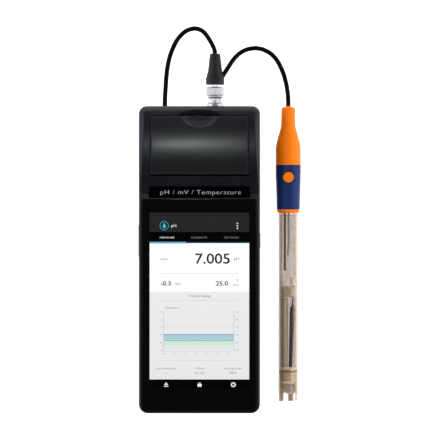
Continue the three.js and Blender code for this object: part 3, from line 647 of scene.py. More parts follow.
def plan_outline(inset):
    w, l = HALF_WIDTH - inset, HALF_LENGTH - inset
    low, high = BOTTOM_CORNER - inset, TOP_CORNER - inset
    return rounded([(-w, -l, low), (w, -l, low), (w, l, high), (-w, l, high)], True, 10)


def lower_solid(name, inset, ceiling):
    """The casing's back half below the ceiling, with its back edge rounded all round."""
    rings, steps = [], 10
    for k in range(steps + 1):
        s = k / steps
        height = inset + BACK_EDGE * s ** 2
        outline = plan_outline(inset + (BACK_EDGE - 0.4) * (1 - s) ** 2)
        rings.append([(x, y, height) for x, y in outline])
    rings.append([(x, y, ceiling) for x, y in plan_outline(inset)])
    return loft(name, rings)


DISH_RADIUS, DISH_TOP, DISH_FLOOR = 27.5, 103.6, 31.0
BAY_X, BAY_PANEL, BAY_CEILING, BAY_WALL = (-33.0, 19.5), 93.3, 16.2, 1.8
SCREWS = [(side * 37.2, y) for side in (-1, 1) for y in (-95, 52)]
SCREW_SHANK, SCREW_HEAD = 1.4, 2.2
KEY_Z = (17.7, 20.4)
KEYS = {"power_button": (1, 8, 18), "volume_button": (-1, 2, 24)}
CAMERA_AT, CAMERA_R, FLASH_AT, FLASH_R = (-20, 30), 4.3, (-11, 30), 2.3
SPEAKER_AT, SLOT_PITCH = (17, 28), 2.6
COVER_HALF, COVER_TOP, COVER_THICK, COVER_TONGUE = 33.0, -28.0, 1.8, 1.5


def hollow(outer, inner):
    """The shell between two solids, with the walls and the mouth of the connector bay."""
    x0, x1 = BAY_X
    wall = BAY_WALL
    lump = block("bay_lump", (x0 - wall, x1 + wall), (BAY_PANEL - wall, 112), (-2, BAY_CEILING + 1.6))
    mouth = block("bay_mouth", (x0, x1), (BAY_PANEL, 115), (-3, BAY_CEILING), 0.8, "Y")
    return cut(outer, cut(inner, lump), mouth)


def front_housing():
    body = hollow(upper_solid("front_housing_shell", 0, SPLIT + SEAM), upper_solid("inner", WALL, 8))
    added = [turned("boss", [(0, SPLIT + SEAM), (2.5, SPLIT + SEAM), (2.5, 22.4), (0, 22.4)],
                    "Z", (x, y, 0), 24) for x, y in SCREWS]
    floor = block("dish_floor", (-17, 17), (APERTURE_Y[1], 104.5), (DISH_FLOOR - 1.1, 34))
    added.append(combine(floor, [upper_solid("envelope", 0, SPLIT)], "INTERSECT"))
    for side in (-1, 1):
        x = side * 35.8
        added.append(block("ear", (x - 1.8, x + 1.8), (57.5, 62.7), (31.8, 35.6), 0.5, "X"))
    join(body, *added)
    x0, x1 = GLASS_X
    y0, y1 = GLASS_Y
    gap = 0.3
    cutters = [
        block("aperture", (-APERTURE_HALF, APERTURE_HALF), APERTURE_Y, (24, 45), 0.5),
        block("glass_bed", (x0 - gap, x1 + gap), (y0 - gap, y1 + gap), (DEPTH - GLASS_THICK - gap, 30),
              1.3),
        block("display_bed", (-35.6, 35.6), (-92.3, 36.3), (17, 30), 0.6),
        bar("pin_bore", 1.3, -38, 38, at=HINGE_AT, edge=0),
    ]
    dish = [(0, DISH_FLOOR), (DISH_RADIUS - 4.7, DISH_FLOOR, 3), (DISH_RADIUS, DISH_FLOOR + 2.7),
            (DISH_RADIUS, 46), (0, 46)]
    bowl = turned("finger_dish", dish, "Z", (0, DISH_TOP - DISH_RADIUS, 0), 180, steps=6)
    keep = block("keep", (-20, 20), (APERTURE_Y[1] - 1, 110), (30, 45))
    cutters.append(combine(bowl, [keep], "INTERSECT"))
    cutters += [bar("screw_hole", SCREW_SHANK, 15, 20, "Z", (x, y, 0), 0, 24) for x, y in SCREWS]
    for side, low, high in KEYS.values():
        x = side * HALF_WIDTH
        cutters.append(block("key_slot", (x - 3, x + 3), (low - gap, high + gap),
                             (KEY_Z[0] - gap, KEY_Z[1] + gap), 0.9, "X"))
    cut(body, *cutters)
    tidy_mesh(body)
    soften(body, 0.22, 2, 50, lambda p: p.z > SPLIT + 0.5)
    stand_for(body, "body", "front_housing")


def rear_housing():
    body = hollow(lower_solid("rear_housing_shell", 0, SPLIT - SEAM), lower_solid("inner", WALL, 22))
    join(body, *[turned("boss", [(0, 1), (2.6, 1), (2.6, SPLIT - SEAM), (0, SPLIT - SEAM)], "Z",
                        (x, y, 0), 24) for x, y in SCREWS])
    gap = 0.4
    clear_half = COVER_HALF + gap
    cutters = [
        block("cover_bed", (-clear_half, clear_half), (-110, COVER_TOP + gap), (-1, WALL + 0.1), 1.6),
        block("cover_groove", (-clear_half - COVER_TONGUE, clear_half + COVER_TONGUE),
              (-110, COVER_TOP + gap), (0.9, WALL + 0.1), 1.6),
        bar("camera_hole", CAMERA_R, -1, 3, "Z", (*CAMERA_AT, 0), 0),
        bar("flash_hole", FLASH_R, -1, 3, "Z", (*FLASH_AT, 0), 0),
        block("usb_mouth", (-4.8, 4.8), (-108, -102), (8.5, 12.3), 1.5, "Y"),
        bar("bnc_hole", 5.0, 85, 96, "Y", BNC_AT, 0),
        bar("temp_hole", 3.8, 85, 96, "Y", TEMP_AT, 0),
    ]
    for i in range(-2, 3):
        y = SPEAKER_AT[1] + i * SLOT_PITCH
        cutters.append(block("slot", (SPEAKER_AT[0] - 7, SPEAKER_AT[0] + 7), (y - 0.6, y + 0.6), (-1, 3),
                             0.59))
    for x, y in SCREWS:
        cutters.append(bar("screw_hole", SCREW_SHANK, -1, 17, "Z", (x, y, 0), 0, 24))
        cutters.append(bar("screw_head_hole", SCREW_HEAD, -1, 2.3, "Z", (x, y, 0), 0, 32))
    cut(body, *cutters)
    tidy_mesh(body)
    soften(body, 0.2, 2, 50)
    stand_for(body, "body", "rear_housing")


def battery_cover():
    wide, reach = COVER_HALF, COVER_HALF + COVER_TONGUE
    panel = block("battery_cover_panel", (-wide, wide), (-110, COVER_TOP), (-1, COVER_THICK), 1.4)
    join(panel, block("tongue", (-reach, reach), (-97, COVER_TOP - 3), (1.2, COVER_THICK), 1.0))
    combine(panel, [lower_solid("envelope", 0, 20)], "INTERSECT")
    cut(panel, *[block("grip", (-7 - i, 7 + i), (-58 + i * 2.6, -56.8 + i * 2.6), (-1, 0.5), 0.55)
                 for i in range(3)])
    tidy_mesh(panel)
    soften(panel, 0.25, 2, 45)
    stand_for(panel, "body", "battery_cover")


def side_keys():
    for node, (side, low, high) in KEYS.items():
        z0, z1 = KEY_Z
        xs = span(side, 38.9, HALF_WIDTH + 0.3)
        cap = soften(block(node + "_cap", xs, (low, high), KEY_Z, 0.7, "X"), 0.25, 3)
        flange_x = span(side, 38.1, 39.1)
        flange = block("flange", flange_x, (low - 1, high + 1), (z0 - 0.8, z1 + 0.8), 0.5, "X")
        stand_for(smooth(join(cap, flange)), "key", node)


def screws():
    """Pan heads with a hexagon socket, sunk into the back."""
    for i, (x, y) in enumerate(SCREWS):
        profile = [(0, 0.4), (1.9, 0.4, 0.35), (1.9, 1.9, 0.1), (1.1, 1.9), (1.1, 19, 0.3), (0, 19.4)]
        node = f"housing_screw_{i + 1}"
        screw = turned(node + "_turned", profile, "Z", (x, y, 0), 40)
        angles = [math.radians(60 * k) for k in range(6)]
        hexagon = [(x + 0.95 * math.cos(a), y + 0.95 * math.sin(a)) for a in angles]
        socket = prism("socket", hexagon, 0, 1.3)
        stand_for(smooth(cut(screw, socket)), "steel", node)


def back_windows():
    for node, (x, y), radius in (("camera_window", CAMERA_AT, 4.0), ("flash_window", FLASH_AT, 2.0)):
        profile = [(0, 0.4), (radius, 0.4, 0.25), (radius, 1.7, 0.1), (0, 1.7)]
        window = smooth(turned(node + "_lens", profile, "Z", (x, y, 0), 64))
        stand_for(window, "lens", node)


def glyphs(name, text, size, at, thick, bold, align="LEFT", tilt=0.0, wide=1.0):
    """Raised lettering in the default face, on a plane turned about X by tilt."""
    curve = bpy.data.curves.new(name, "FONT")
    curve.body = text
    curve.size = size * MM
    curve.align_x = align
    curve.align_y = "CENTER"
    curve.extrude = thick * MM / 2
    curve.resolution_u = 4
    curve.space_character = wide
    curve.offset = bold * MM
    holder = new_object(name, curve)
    holder.matrix_world = Matrix.Translation(Vector(at) * MM) @ Matrix.Rotation(tilt, 4, "X")
    bpy.context.view_layer.update()
    mesh = bpy.data.meshes.new_from_object(holder.evaluated_get(bpy.context.evaluated_depsgraph_get()))
    mesh.transform(holder.matrix_world)
    bpy.data.objects.remove(holder)
    return edit(new_object(name, mesh), weld)


def label():
    strip = refined("label_strip", 0.12, name="label_plate")
    stand_for(strip, "label", "label_strip")
    foot, crest = Vector((0, 42.4, 26.95)), Vector((0, 49.8, 32.15))
    slope = math.atan2(crest.z - foot.z, crest.y - foot.y)
    middle = (foot + crest) / 2 + Vector((0.8, 0, 0))
    ink = principled("label_ink", (0.5, 0.5, 0.51), 0.45)
    bump(ink, grain(ink, 3000, 2), 0.1, 0.00003)
    text = glyphs("label_lettering", "pH / mV / Temperature", 5.3, middle, thick=0.06, bold=-0.09,
                  align="CENTER", tilt=slope, wide=1.09)
    detail(text, ink, "label_strip")


def cover_glass():
    x0, x1 = GLASS_X
    y0, y1 = GLASS_Y
    slab = block("cover_glass", (x0, x1), (y0, y1), (DEPTH - GLASS_THICK, DEPTH), 1.1)
    soften(slab, 0.22, 3, 60)
    stand_for(slab, "glass", "touch_glass")


for make in (front_housing, rear_housing, battery_cover, side_keys, screws, back_windows, label, cover_glass):
    make()


# ---- printer ----
LID_EDGE, LID_PITCH, LID_THINNEST = 0.6, 0.9, 1.3
SCOOP_Y, SCOOP_HALF, SCOOP_RIM, SCOOP_DEEP, SCOOP_RISE, SCOOP_BLEND = 100.6, (13, 8.6), 37.2, 4.2, 6, 0.9


def lid_top(x, y):
    """The lid's arched top with the finger scoop pressed into its free edge."""
    height = arch(y)
    rim = min(LID_HALF - abs(x), y - LID_Y[0], LID_Y[1] - y)
    left = 1 - min(max(rim / LID_EDGE, 0), 1)
    height -= LID_EDGE * (1 - math.sqrt(1 - left ** 2))
    inside = 1 - (x / SCOOP_HALF[0]) ** 2 - ((y - SCOOP_Y) / SCOOP_HALF[1]) ** 2
    scoop = SCOOP_RIM - (SCOOP_DEEP * math.sqrt(inside) if inside > 0 else SCOOP_RISE * inside)
    lower, gap = min(height, scoop), abs(height - scoop)
    if gap < SCOOP_BLEND:
        return lower - (SCOOP_BLEND - gap) ** 2 / (4 * SCOOP_BLEND)
    return lower


def spaced(low, high, edge, step):
    """Positions that are close together at both ends."""
    near = [edge * s for s in (0, 0.08, 0.25, 0.5, 1)]
    count = round((high - low - 2 * edge) / step)
    middle = [low + edge + (high - low - 2 * edge) * i / count for i in range(1, count)]
    return [low + d for d in near] + middle + [high - d for d in reversed(near)]


def lid_plate(name):
    xs = spaced(-LID_HALF, LID_HALF, LID_EDGE, LID_PITCH)
    ys = spaced(*LID_Y, LID_EDGE, LID_PITCH)
    top = [(x, y, lid_top(x, y)) for y in ys for x in xs]
    under = [(x, y, min(arch(y, LID_THICK), lid_top(x, y) - LID_THINNEST)) for y in ys for x in xs]
    size = len(top)
    quads, rim = grid(len(xs), len(ys))
    faces = []
    for quad in quads:
        faces += [quad, tuple(size + v for v in reversed(quad))]
    for a, b in zip(rim, rim[1:] + rim[:1]):
        faces.append((a, a + size, b + size, b))
    return face_outward(mesh_object(name, top + under, faces))


def printer_lid():
    lid = lid_plate("printer_lid_shell")
    added = []
    arm = [(86, 36.6), (88.9, 24.6, 0.8), (91, 23.6, 1), (93.4, 23.6, 1), (95, 25.6, 0.8), (96.2, 35.4)]
    for side in (-1, 1):
        x0, x1 = span(side, 29.9, LID_HALF)
        added.append(bar("knuckle", 2.1, x0, x1, at=HINGE_AT))
        added.append(block("strap", (x0, x1), (HINGE_Y - 0.5, HINGE_Y + 4), (HINGE_Z, HINGE_Z + 1.6), 0.4,
                           "X"))
        x0, x1 = span(side, 29, 30.2)
        added.append(prism("arm", arm, x0, x1, "X"))
    # A barrel round the pin across the whole hinge gap hides the paper, so the gap shows dark. A barrel is
    # real in kind, but its dark across the gap is painted shade.
    added.append(bar("barrel", 1.9, -30, 30, at=HINGE_AT))
    join(lid, *added)
    cut(lid, bar("pin_bore", 1.3, -36, 36, at=HINGE_AT, edge=0),
        bar("shaft_bore", 1.8, -36, 36, at=PLATEN_AT, edge=0))
    tidy_mesh(lid, 0.005)
    stand_for(smooth(lid, 35), "lid", "printer_lid")


def cradle():
    """The drop-in trough that the paper roll lies in."""
    def arc(r, first, last, steps):
        angles = [first + (last - first) * i / steps for i in range(steps + 1)]
        return [(ROLL_Y + r * math.cos(a), ROLL_Z + r * math.sin(a)) for a in angles]

    outer, inner, half, top = 16.6, 15.4, 30.1, 31
    lip = math.pi - math.radians(35)
    trough = prism("paper_cradle", arc(outer, lip, 2 * math.pi, 48) + arc(inner, 2 * math.pi, lip, 48),
                   -half, half, "X")
    added = []
    for side in (-1, 1):
        x0, x1 = span(side, half, half - 1.2)
        sides = arc(outer, math.pi, 2 * math.pi, 40) + [(ROLL_Y + 10, top), (ROLL_Y - 8, top)]
        added.append(prism("cradle_end", sides, x0, x1, "X"))
        x0, x1 = span(side, 20, 26)
        added.append(block("foot", (x0, x1), (66, 76), (4.2, 7.4), 0.6, "X"))
    join(trough, *added)
    cut(trough, bar("roll_space", inner, -half + 1.2, half - 1.2, at=ROLL_AT, edge=0, sides=80))
    tidy_mesh(trough)
    soften(trough, 0.15, 2, 50)
    stand_for(trough, "body", "printer_frame")


def paper():
    """A wound roll: its ends show the turns, and its core is a card tube."""
    turns, inner, outer, half = 22, 6.5, 14.2, 28.5
    wound = [(inner, 0.1)]
    for i in range(turns):
        wound.append((inner + (outer - inner) * (i + 0.5) / turns, 0.0 if i % 2 else 0.14))
    profile = [(r, -half + sunk) for r, sunk in wound]
    profile += [(outer - 0.2, -half), (outer, -half, 0.15), (outer, half, 0.15), (outer - 0.2, half)]
    profile += [(r, half - sunk) for r, sunk in reversed(wound)]
    roll = smooth(turned("paper_windings", profile, "X", ROLL_AT, 96, closed=True))
    stand_for(roll, "paper", "paper_roll")
    core = smooth(ring("card_core", 6.2, 5.2, -half, half, at=ROLL_AT))
    stand_for(core, "card", "paper_core")


def platen():
    roller = smooth(ring("platen_rubber", 4.8, 1.8, -28.4, 28.4, at=PLATEN_AT, edge=0.4))
    stand_for(roller, "rubber", "platen_roller")
    shaft = smooth(bar("platen_axle", 1.5, -31.6, 33.4, at=PLATEN_AT, edge=0.25))
    stand_for(shaft, "steel", "platen_shaft")
    for node, material in (("platen_gear", "acetal"), ("idler_gear", "acetal"), ("motor_gear", "gold")):
        stand_for(refined(node, 0.07), material, node)


def print_unit():
    stand_for(refined("print_head", 0.25, 3), "ceramic", "print_head")
    for node, material in (("head_bracket", "dark_steel"), ("feed_motor", "steel"), ("idler_pin", "steel")):
        stand_for(refined(node, 0.15), material, node)
    # The pin is nearly black so that the hinge gap shows dark: painted shade in the gap, on a blackened
    # finish.
    pin = smooth(bar("hinge_rod", 1.0, -37, 37, at=HINGE_AT, edge=0.25))
    stand_for(pin, "dark_steel", "lid_hinge_pin")
    row = block("heater_line", (-27.5, 27.5), (97.9, 98.15), (25.9, 27.1), 0.05, "X")
    detail(smooth(row), "label", "print_head")


for make in (printer_lid, cradle, paper, platen, print_unit):
    make()


# ---- electronics ----
def electronics():
    for node, edge, segments, material in (
            ("display_module", 0.2, 2, "panel"), ("main_board", 0.08, 1, "board"),
            ("sensor_board", 0.08, 1, "board"), ("battery_pack", 1.2, 4, "battery"),
            ("speaker", 0.5, 3, "rubber"), ("usb_port", 0.12, 2, "steel")):
        stand_for(refined(node, edge, segments), material, node)


electronics()


# ---- connectors ----
LUG_Y, SLOT_HALF, SLOT_SWEEP = 98.9, 1.45, -71  # the sweep is in degrees
SOCKET_THREAD = (87.8, 92.6, 0.5)  # start, end and pitch


def bnc_socket():
    """The panel half: threaded barrel, flange, dielectric well and two bayonet lugs."""
    profile = [(0, 87.5), (4.5, 87.5)]
    y, end, pitch = SOCKET_THREAD
    while y < end:
        profile += [(4.7, y), (4.45, y + pitch / 2)]
        y += pitch
    profile += [(4.7, 93.4), (6.6, 93.6), (6.6, 95.0), (6.4, 95.2), (4.8, 95.3), (4.8, 103.0), (4.6, 103.2),
                (4.2, 103.2), (4.1, 103.0), (4.1, 95.4), (2.3, 95.4), (2.3, 90), (0, 90)]
    socket = turned("bnc_jack", profile, "Y", BNC_AT, 64)
    lugs = [bar("lug", 1.0, *span(side, 4.4, 6.0), at=(BNC_X, LUG_Y, JACK_Z), sides=24)
            for side in (-1, 1)]
    stand_for(smooth(join(socket, *lugs)), "nickel", "bnc_socket")
    nut = bar("bnc_panel_nut", 5.9, 89.3, 91.2, "Y", BNC_AT, 0.3, 6)
    cut(nut, bar("nut_bore", 5.0, 88, 93, "Y", BNC_AT, 0))
    stand_for(smooth(nut), "nickel", "bnc_nut")
    contact = smooth(ring("bnc_centre_contact", 1.9, 1.1, 90.4, 102, "Y", BNC_AT))
    stand_for(contact, "gold", "bnc_contact")


def bnc_sleeve():
    """The bayonet shell that turns: a ring with two entries for the lugs and a slot round from each."""
    profile = [(5.1, 95.6), (7.0, 95.6, 0.3), (7.15, 97, 0.4), (7.15, 102.6, 0.8), (5.95, 104.4, 0.6),
               (5.95, 107.0, 0.35), (5.1, 107.0)]
    shell = turned("bayonet_shell", profile, "Y", BNC_AT, 96, closed=True)
    half, inner, reach, steps = SLOT_HALF, 3.9, 9, 24
    cutters = [block("entry", (BNC_X - reach, BNC_X + reach), (94, LUG_Y + half),
                     (JACK_Z - half, JACK_Z + half), 0)]
    for turn in (0, math.pi):
        rings = []
        for k in range(steps + 1):
            a = turn + math.radians(SLOT_SWEEP) * k / steps
            rings.append([(BNC_X + r * math.cos(a), LUG_Y + dy, JACK_Z + r * math.sin(a))
                          for r, dy in ((inner, -half), (reach, -half), (reach, half), (inner, half))])
        cutters.append(loft("slot", rings))
    cut(shell, *cutters)
    tidy_mesh(shell)
    soften(shell, 0.12, 2, 55)
    stand_for(shell, "nickel", "bnc_sleeve")


def knurled(name, radius, low, high, at):
    """A closed ring of straight knurls with chamfered ends."""
    ridges, deep, chamfer = 44, 0.16, 0.9
    sides = ridges * 4
    rings = []
    stations = [(low, radius - chamfer, 0), (low + chamfer * 0.9, radius - deep * 0.3, 0.4),
                (low + chamfer * 1.3, radius, 1), (high - chamfer, radius, 1),
                (high - chamfer * 0.7, radius - deep * 0.3, 0.4), (high, radius - chamfer * 0.8, 0)]
    for y, r, share in stations:
        rim = []
        for k in range(sides):
            a = 2 * math.pi * k / sides
            reach = r - deep * share * (k % 4 in (2, 3))
            rim.append((at[0] + reach * math.cos(a), y, at[2] + reach * math.sin(a)))
        rings.append(rim)
    return loft(name, rings)


def bnc_plug():
    """The cable half: spring collet inside, waisted neck, knurled clamp nut and a short collar."""
    profile = [(3.0, 97.6), (3.7, 97.6), (3.7, 103.6), (4.75, 103.9), (4.75, 107.0), (5.3, 107.15),
               (5.5, 107.7, 0.4), (4.8, 109.3, 1.2), (5.0, 110.7, 0.5), (5.8, 111.9, 0.3), (5.4, 112.6),
               (5.4, 118.3), (4.85, 118.5), (4.85, 119.6), (2.0, 119.6), (2.0, 104.4), (3.0, 104.4)]
    plug = turned("bnc_cable_plug", profile, "Y", BNC_AT, 72, closed=True)
    nut = knurled("clamp_nut", 6.25, 112.2, 118.5, BNC_AT)
    cut(nut, bar("nut_bore", 5.0, 111, 120, "Y", BNC_AT, 0))
    detail(smooth(tidy_mesh(nut, 0.005), 30), "knurl", "bnc_plug")
    # The collet's slits are real, but each is drawn as a thin plate in the unreflecting label black, set into
    # the plug's surface: painted shade in the slit.
    slit = [(107.3, 5.2), (107.3, 5.5), (107.7, 5.66), (109.3, 4.95, 1), (110.7, 5.12), (111.8, 5.86),
            (111.8, 5.5), (110.6, 4.7), (109.3, 4.5), (107.8, 5.0)]
    for turn in (0, 40):
        seam = prism("collet_slit_shade", slit, -0.17, 0.17, "X")
        seam.data.transform(placed(BNC_AT, turn, "Y"))
        detail(smooth(seam), "label", "bnc_plug")
    stand_for(smooth(plug, 30), "nickel", "bnc_plug")
    pin = smooth(bar("bnc_centre_pin", 0.7, 96.6, 119, "Y", BNC_AT, 0.3, 32))
    stand_for(pin, "gold", "bnc_pin")


def cable_boot():
    """The moulded boot: tapered, with a shoulder and a pocket for the second cable."""
    profile = [(0, 119.9), (6.35, 119.9, 0.35), (6.35, 124.2, 3.0), (4.9, 129.3, 4.0), (3.55, 141.2, 0.35),
               (2.1, 141.25), (2.0, 141.58), (0, 141.58)]
    boot = turned("moulded_boot", profile, "Y", BNC_AT, 72, steps=6)
    profile = [(0, 120.2), (2.75, 120.2, 0.3), (2.75, 128.2, 1.4), (0, 128.8)]
    shoulder = turned("shoulder", profile, "Y", (14.2, 0, JACK_Z), 56, steps=6)
    join(boot, shoulder)
    pocket = bar("pocket", CORD_RADIUS + 0.12, 0, 8, "Y", edge=0)
    pocket.data.transform(placed((15.4, 125.1, JACK_Z), -32.7, "Z"))
    cut(boot, pocket)
    tidy_mesh(boot)
    stand_for(smooth(boot, 40), "rubber", "cable_boot")


def temp_connector():
    profile = [(0, 86.5), (3.5, 86.5, 0.2), (3.5, 93.6), (5.4, 93.6, 0.3), (5.4, 94.7, 0.3),
               (2.1, 94.7, 0.3), (2.1, 87.4), (0, 87.4)]
    socket = smooth(turned("temp_jack", profile, "Y", TEMP_AT, 56))
    stand_for(socket, "body", "temp_socket")
    pin = [(0, 88), (1.0, 88.2, 0.4), (1.7, 89.4, 0.3), (1.7, 95.6, 0.1), (0, 95.6)]
    stand_for(smooth(turned("temp_plug_tip", pin, "Y", TEMP_AT, 40)), "nickel", "temp_plug_pin")
    profile = [(0, 95.9), (4.2, 95.9, 0.3), (4.4, 96.6, 0.4), (4.4, 100.4, 1.2), (2.7, 104.2, 0.5),
               (0, 104.2)]
    shell = smooth(turned("temp_plug_shell", profile, "Y", TEMP_AT, 56, steps=6))
    stand_for(shell, "rubber", "temp_plug")


for make in (bnc_socket, bnc_sleeve, bnc_plug, cable_boot, temp_connector):
    make()
make_cords()


# ---- electrode ----
PROBE_X, REST_Y, SLEEVE_R, TUBE_R, BORE_R, TIP_Y = 60.9, 65.1, 8.6, 6.65, 5.65, -97.1
REFILL_AT = (0, 56.6, 0)
TILT = math.asin((SLEEVE_R - TUBE_R) / (REST_Y - TIP_Y))
LIFT = 0.03
LIE = placed((PROBE_X, REST_Y * (1 - math.cos(TILT)), SLEEVE_R - REST_Y * math.sin(TILT) + LIFT),
             math.degrees(TILT), "X")


def lay(obj):
    """Puts a piece that was made along the electrode's own axis onto the table with it."""
    obj.data.transform(LIE)
    return obj


def probe_turned(name, profile, x=0.0, z=0.0, closed=False, steps=4, angle=32):
    return lay(smooth(turned(name, profile, "Y", (x, 0, z), 72, closed, steps), angle))


def electrode_body():
    cap = [(0, 65.12), (8.58, 65.12, 0.08), (8.6, 76.5, 9), (8, 80.2, 8), (6.2, 87, 8), (5.2, 90.4, 6),
           (4.9, 93, 4), (4.75, 104.2, 0.7), (2.4, 104.9, 0.3), (2.1, 104.95), (2.0, 105.28), (0, 105.28)]
    stand_for(probe_turned("orange_cap", cap, steps=6), "orange", "probe_cap")
    profile = [(5.95, 34.6), (7.9, 34.6, 0.1), (8.1, 45, 6), (8.55, 58, 6), (8.6, 65.1, 0.08), (5.95, 65.1)]
    sleeve = turned("blue_sleeve", profile, sides=96, closed=True, steps=6)
    cut(sleeve, bar("refill_hole", 4.25, 0, 12, "Z", REFILL_AT, 0, 64))
    stand_for(lay(smooth(sleeve)), "blue", "probe_sleeve")
    plug = [(0, 6.4), (3.7, 6.4), (3.7, 8.55, 0.55), (2.2, 8.72, 1), (0, 8.75)]
    stopper = smooth(turned("refill_stopper", plug, "Z", REFILL_AT, steps=5))
    stand_for(lay(stopper), "orange", "refill_plug")
    seal = [(6.75, 32.0, 0.1), (7.9, 33.6, 0.9), (7.9, 34.5, 0.08), (6.0, 34.5), (6.0, 32.0)]
    stand_for(probe_turned("orange_seal", seal, closed=True, steps=6), "orange", "seal_ring")


def half_trough(name, low, high):
    """The lower half of a thin tube along Y, just inside the clear tube's bore."""
    outer, inner, sides = BORE_R - 0.1, BORE_R - 0.7, 40
    arc = [math.pi + math.pi * k / sides for k in range(sides + 1)]
    outline = [(outer * math.cos(a), outer * math.sin(a)) for a in arc]
    outline += [(inner * math.cos(a), inner * math.sin(a)) for a in reversed(arc)]
    return prism(name, outline, low, high, "Y")


def electrode_tube():
    """The clear tube with its neck and gel, and the slotted guard round the bulb."""
    wall = [(BORE_R, -76.5), (TUBE_R, -76.5, 0.15), (TUBE_R, 31.8, 0.1), (5.7, 31.9), (5.7, 64.8),
            (4.4, 64.8), (4.4, 31.4), (BORE_R, 31.2)]
    stand_for(probe_turned("clear_barrel", wall, closed=True), "tube", "body_tube")
    trough = half_trough("electrolyte_gel", -76, 31)
    detail(lay(smooth(trough)), "gel", "body_tube")
    wall = [(BORE_R, TIP_Y, 0.3), (TUBE_R, TIP_Y, 0.3), (TUBE_R, -76.8, 0.15), (BORE_R, -76.8)]
    guard = turned("bulb_guard_prongs", wall, sides=120, closed=True)
    count, first, half = 5, 17.5, 1.9
    notches, backs = [], []
    for i in range(count):
        outline = [(-half, -100), (half, -100), (half, -91, 1.5), (-half, -91, 1.5)]
        notch = prism("notch", outline, 3, 9, steps=6)
        notch.data.transform(placed((0, 0, 0), first + (i + 0.5) * 360 / count, "Y"))
        notches.append(notch)
        backs.append(new_object("notch", notch.data.copy()))
    backing = half_trough("guard_backing", TIP_Y + 0.3, -76.9)
    cut(guard, *notches)
    tidy_mesh(guard)
    stand_for(lay(soften(guard, 0.15, 2, 60)), "guard", "bulb_guard")
    cut(backing, *backs)
    detail(lay(smooth(backing)), "tip_gel", "bulb_guard")
    seam = [(5.9, -77.25), (6.64, -77.25, 0.1), (6.64, -76.1, 0.1), (5.9, -76.1)]
    detail(probe_turned("barrel_seam", seam, closed=True), "seam", "bulb_guard")


def lead(name, route, radius):
    return lay(sweep_tube(name, smooth_path(route, 5), radius))


def electrode_inside():
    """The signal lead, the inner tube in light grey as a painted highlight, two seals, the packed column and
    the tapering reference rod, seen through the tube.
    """
    wire = [(-2.3, 62.9, 0), (-2.3, 40, 0), (-2.3, 20, 0), (-2.35, 5, 0), (-2.3, -4, 0), (-2.0, -7.6, 0)]
    stand_for(lead("signal_lead", wire, 0.78), "wire", "signal_wire")
    # The inner tube is real; its light grey colour is a painted highlight along it.
    grey = [(0.1, 62.9, 0.4), (0.15, 40, 0.4), (0.3, 25, 0.4), (0.4, 15, 0.4), (0.2, 9, 0.4),
            (-0.1, 3.4, 0.4)]
    stand_for(lead("inner_tube_painted_highlight", grey, 0.72), "inner_tube_highlight", "inner_tube")
    seal = [(0, -17.9), (1.9, -17.9, 0.2), (1.9, -12.6, 0.7), (1.2, -11.9, 0.3), (0, -11.8)]
    stand_for(probe_turned("cream_plug", seal, 3.1, steps=5), "cream", "cable_seal")
    tan = [(0, -25.5), (5.1, -25.5, 0.2), (5.5, -24.9, 0.2), (5.5, -19.0, 0.2), (5.1, -18.4, 0.2), (0, -18.4)]
    stand_for(probe_turned("tan_collar", tan), "ring", "support_ring")
    rod = [(0, -47.8), (1.2, -47.8, 0.2), (1.5, -25, 4), (1.85, -10, 3), (1.85, -7.6, 0.3),
           (0.7, -4.6, 0.5), (0.5, 0.1), (0, 0.1)]
    lean = turned("dark_rod", rod, sides=40, steps=5)
    lean.data.transform(placed((3.2, -26, 0), -2.1, "Z"))
    stand_for(lay(smooth(lean)), "rod", "reference_rod")
    fill = [(0, -73.8), (2.2, -73.8, 0.4), (2.3, -45, 5), (2.25, -26.2, 0.4), (0, -25.9)]
    stand_for(probe_turned("olive_column", fill, -2.6, -0.3, steps=5), "fill", "reference_fill")


def electrode_tip():
    """The threaded bronze mount and the pH glass bulb inside its guard."""
    profile = [(0, -85.4), (3.9, -85.4), (4.2, -84.9)]
    y, end, pitch = -84.2, -75.4, 1.95
    while y < end:
        profile += [(4.7, y), (5.5, y + 0.55), (5.5, y + 0.95), (4.7, y + 1.5)]
        y += pitch
    profile += [(4.9, -74.6), (4.6, -74.2), (0, -74.2)]
    stand_for(probe_turned("threaded_mount", profile, angle=25), "thread", "sensor_mount")
    bulb = [(0, -92.6), (1.8, -92.2, 1.0), (3.1, -90.6, 1.2), (3.4, -88.6, 1.2), (2.6, -86.6, 0.8),
            (2, -86, 0.3), (2, -85.8), (0, -85.8)]
    stand_for(probe_turned("ph_bulb", bulb, steps=6), "bulb", "glass_bulb")


for make in (electrode_body, electrode_tube, electrode_inside, electrode_tip):
    make()


# ---- what the display shows ----
GLOW = 0.65


def linear_light(value):
    """A display value from 0 to 255 as linear light."""
    return ((value / 255 + 0.055) / 1.055) ** 2.4 if value > 10 else value / 255 / 12.92


def screen_ink(name, shade):
    """Light from the display under glossy glass."""
    linear = [linear_light(value) for value in shade]
    ink = principled(name, [c * (1 - GLOW) for c in linear], 0.06, Emission_Strength=GLOW,
                     Specular_IOR_Level=0.12)
    shader_of(ink).inputs["Emission Color"].default_value = (*linear, 1)
    vary(ink, grain(ink, 500), 0.05, 0.08)
    return ink


LAYER = 0.015
SCREEN_FLOOR, MARK_TOP = DEPTH - 0.03, DEPTH + LAYER * 3


def plate(x, y, layer, corner=0.0):
    """A thin coloured field of the picture. Higher layers cover lower ones."""
    return block("plate", x, y, (SCREEN_FLOOR, DEPTH + LAYER * layer), corner)


CAPITAL_SHARE, WORDS_LAYER = 0.72, 6


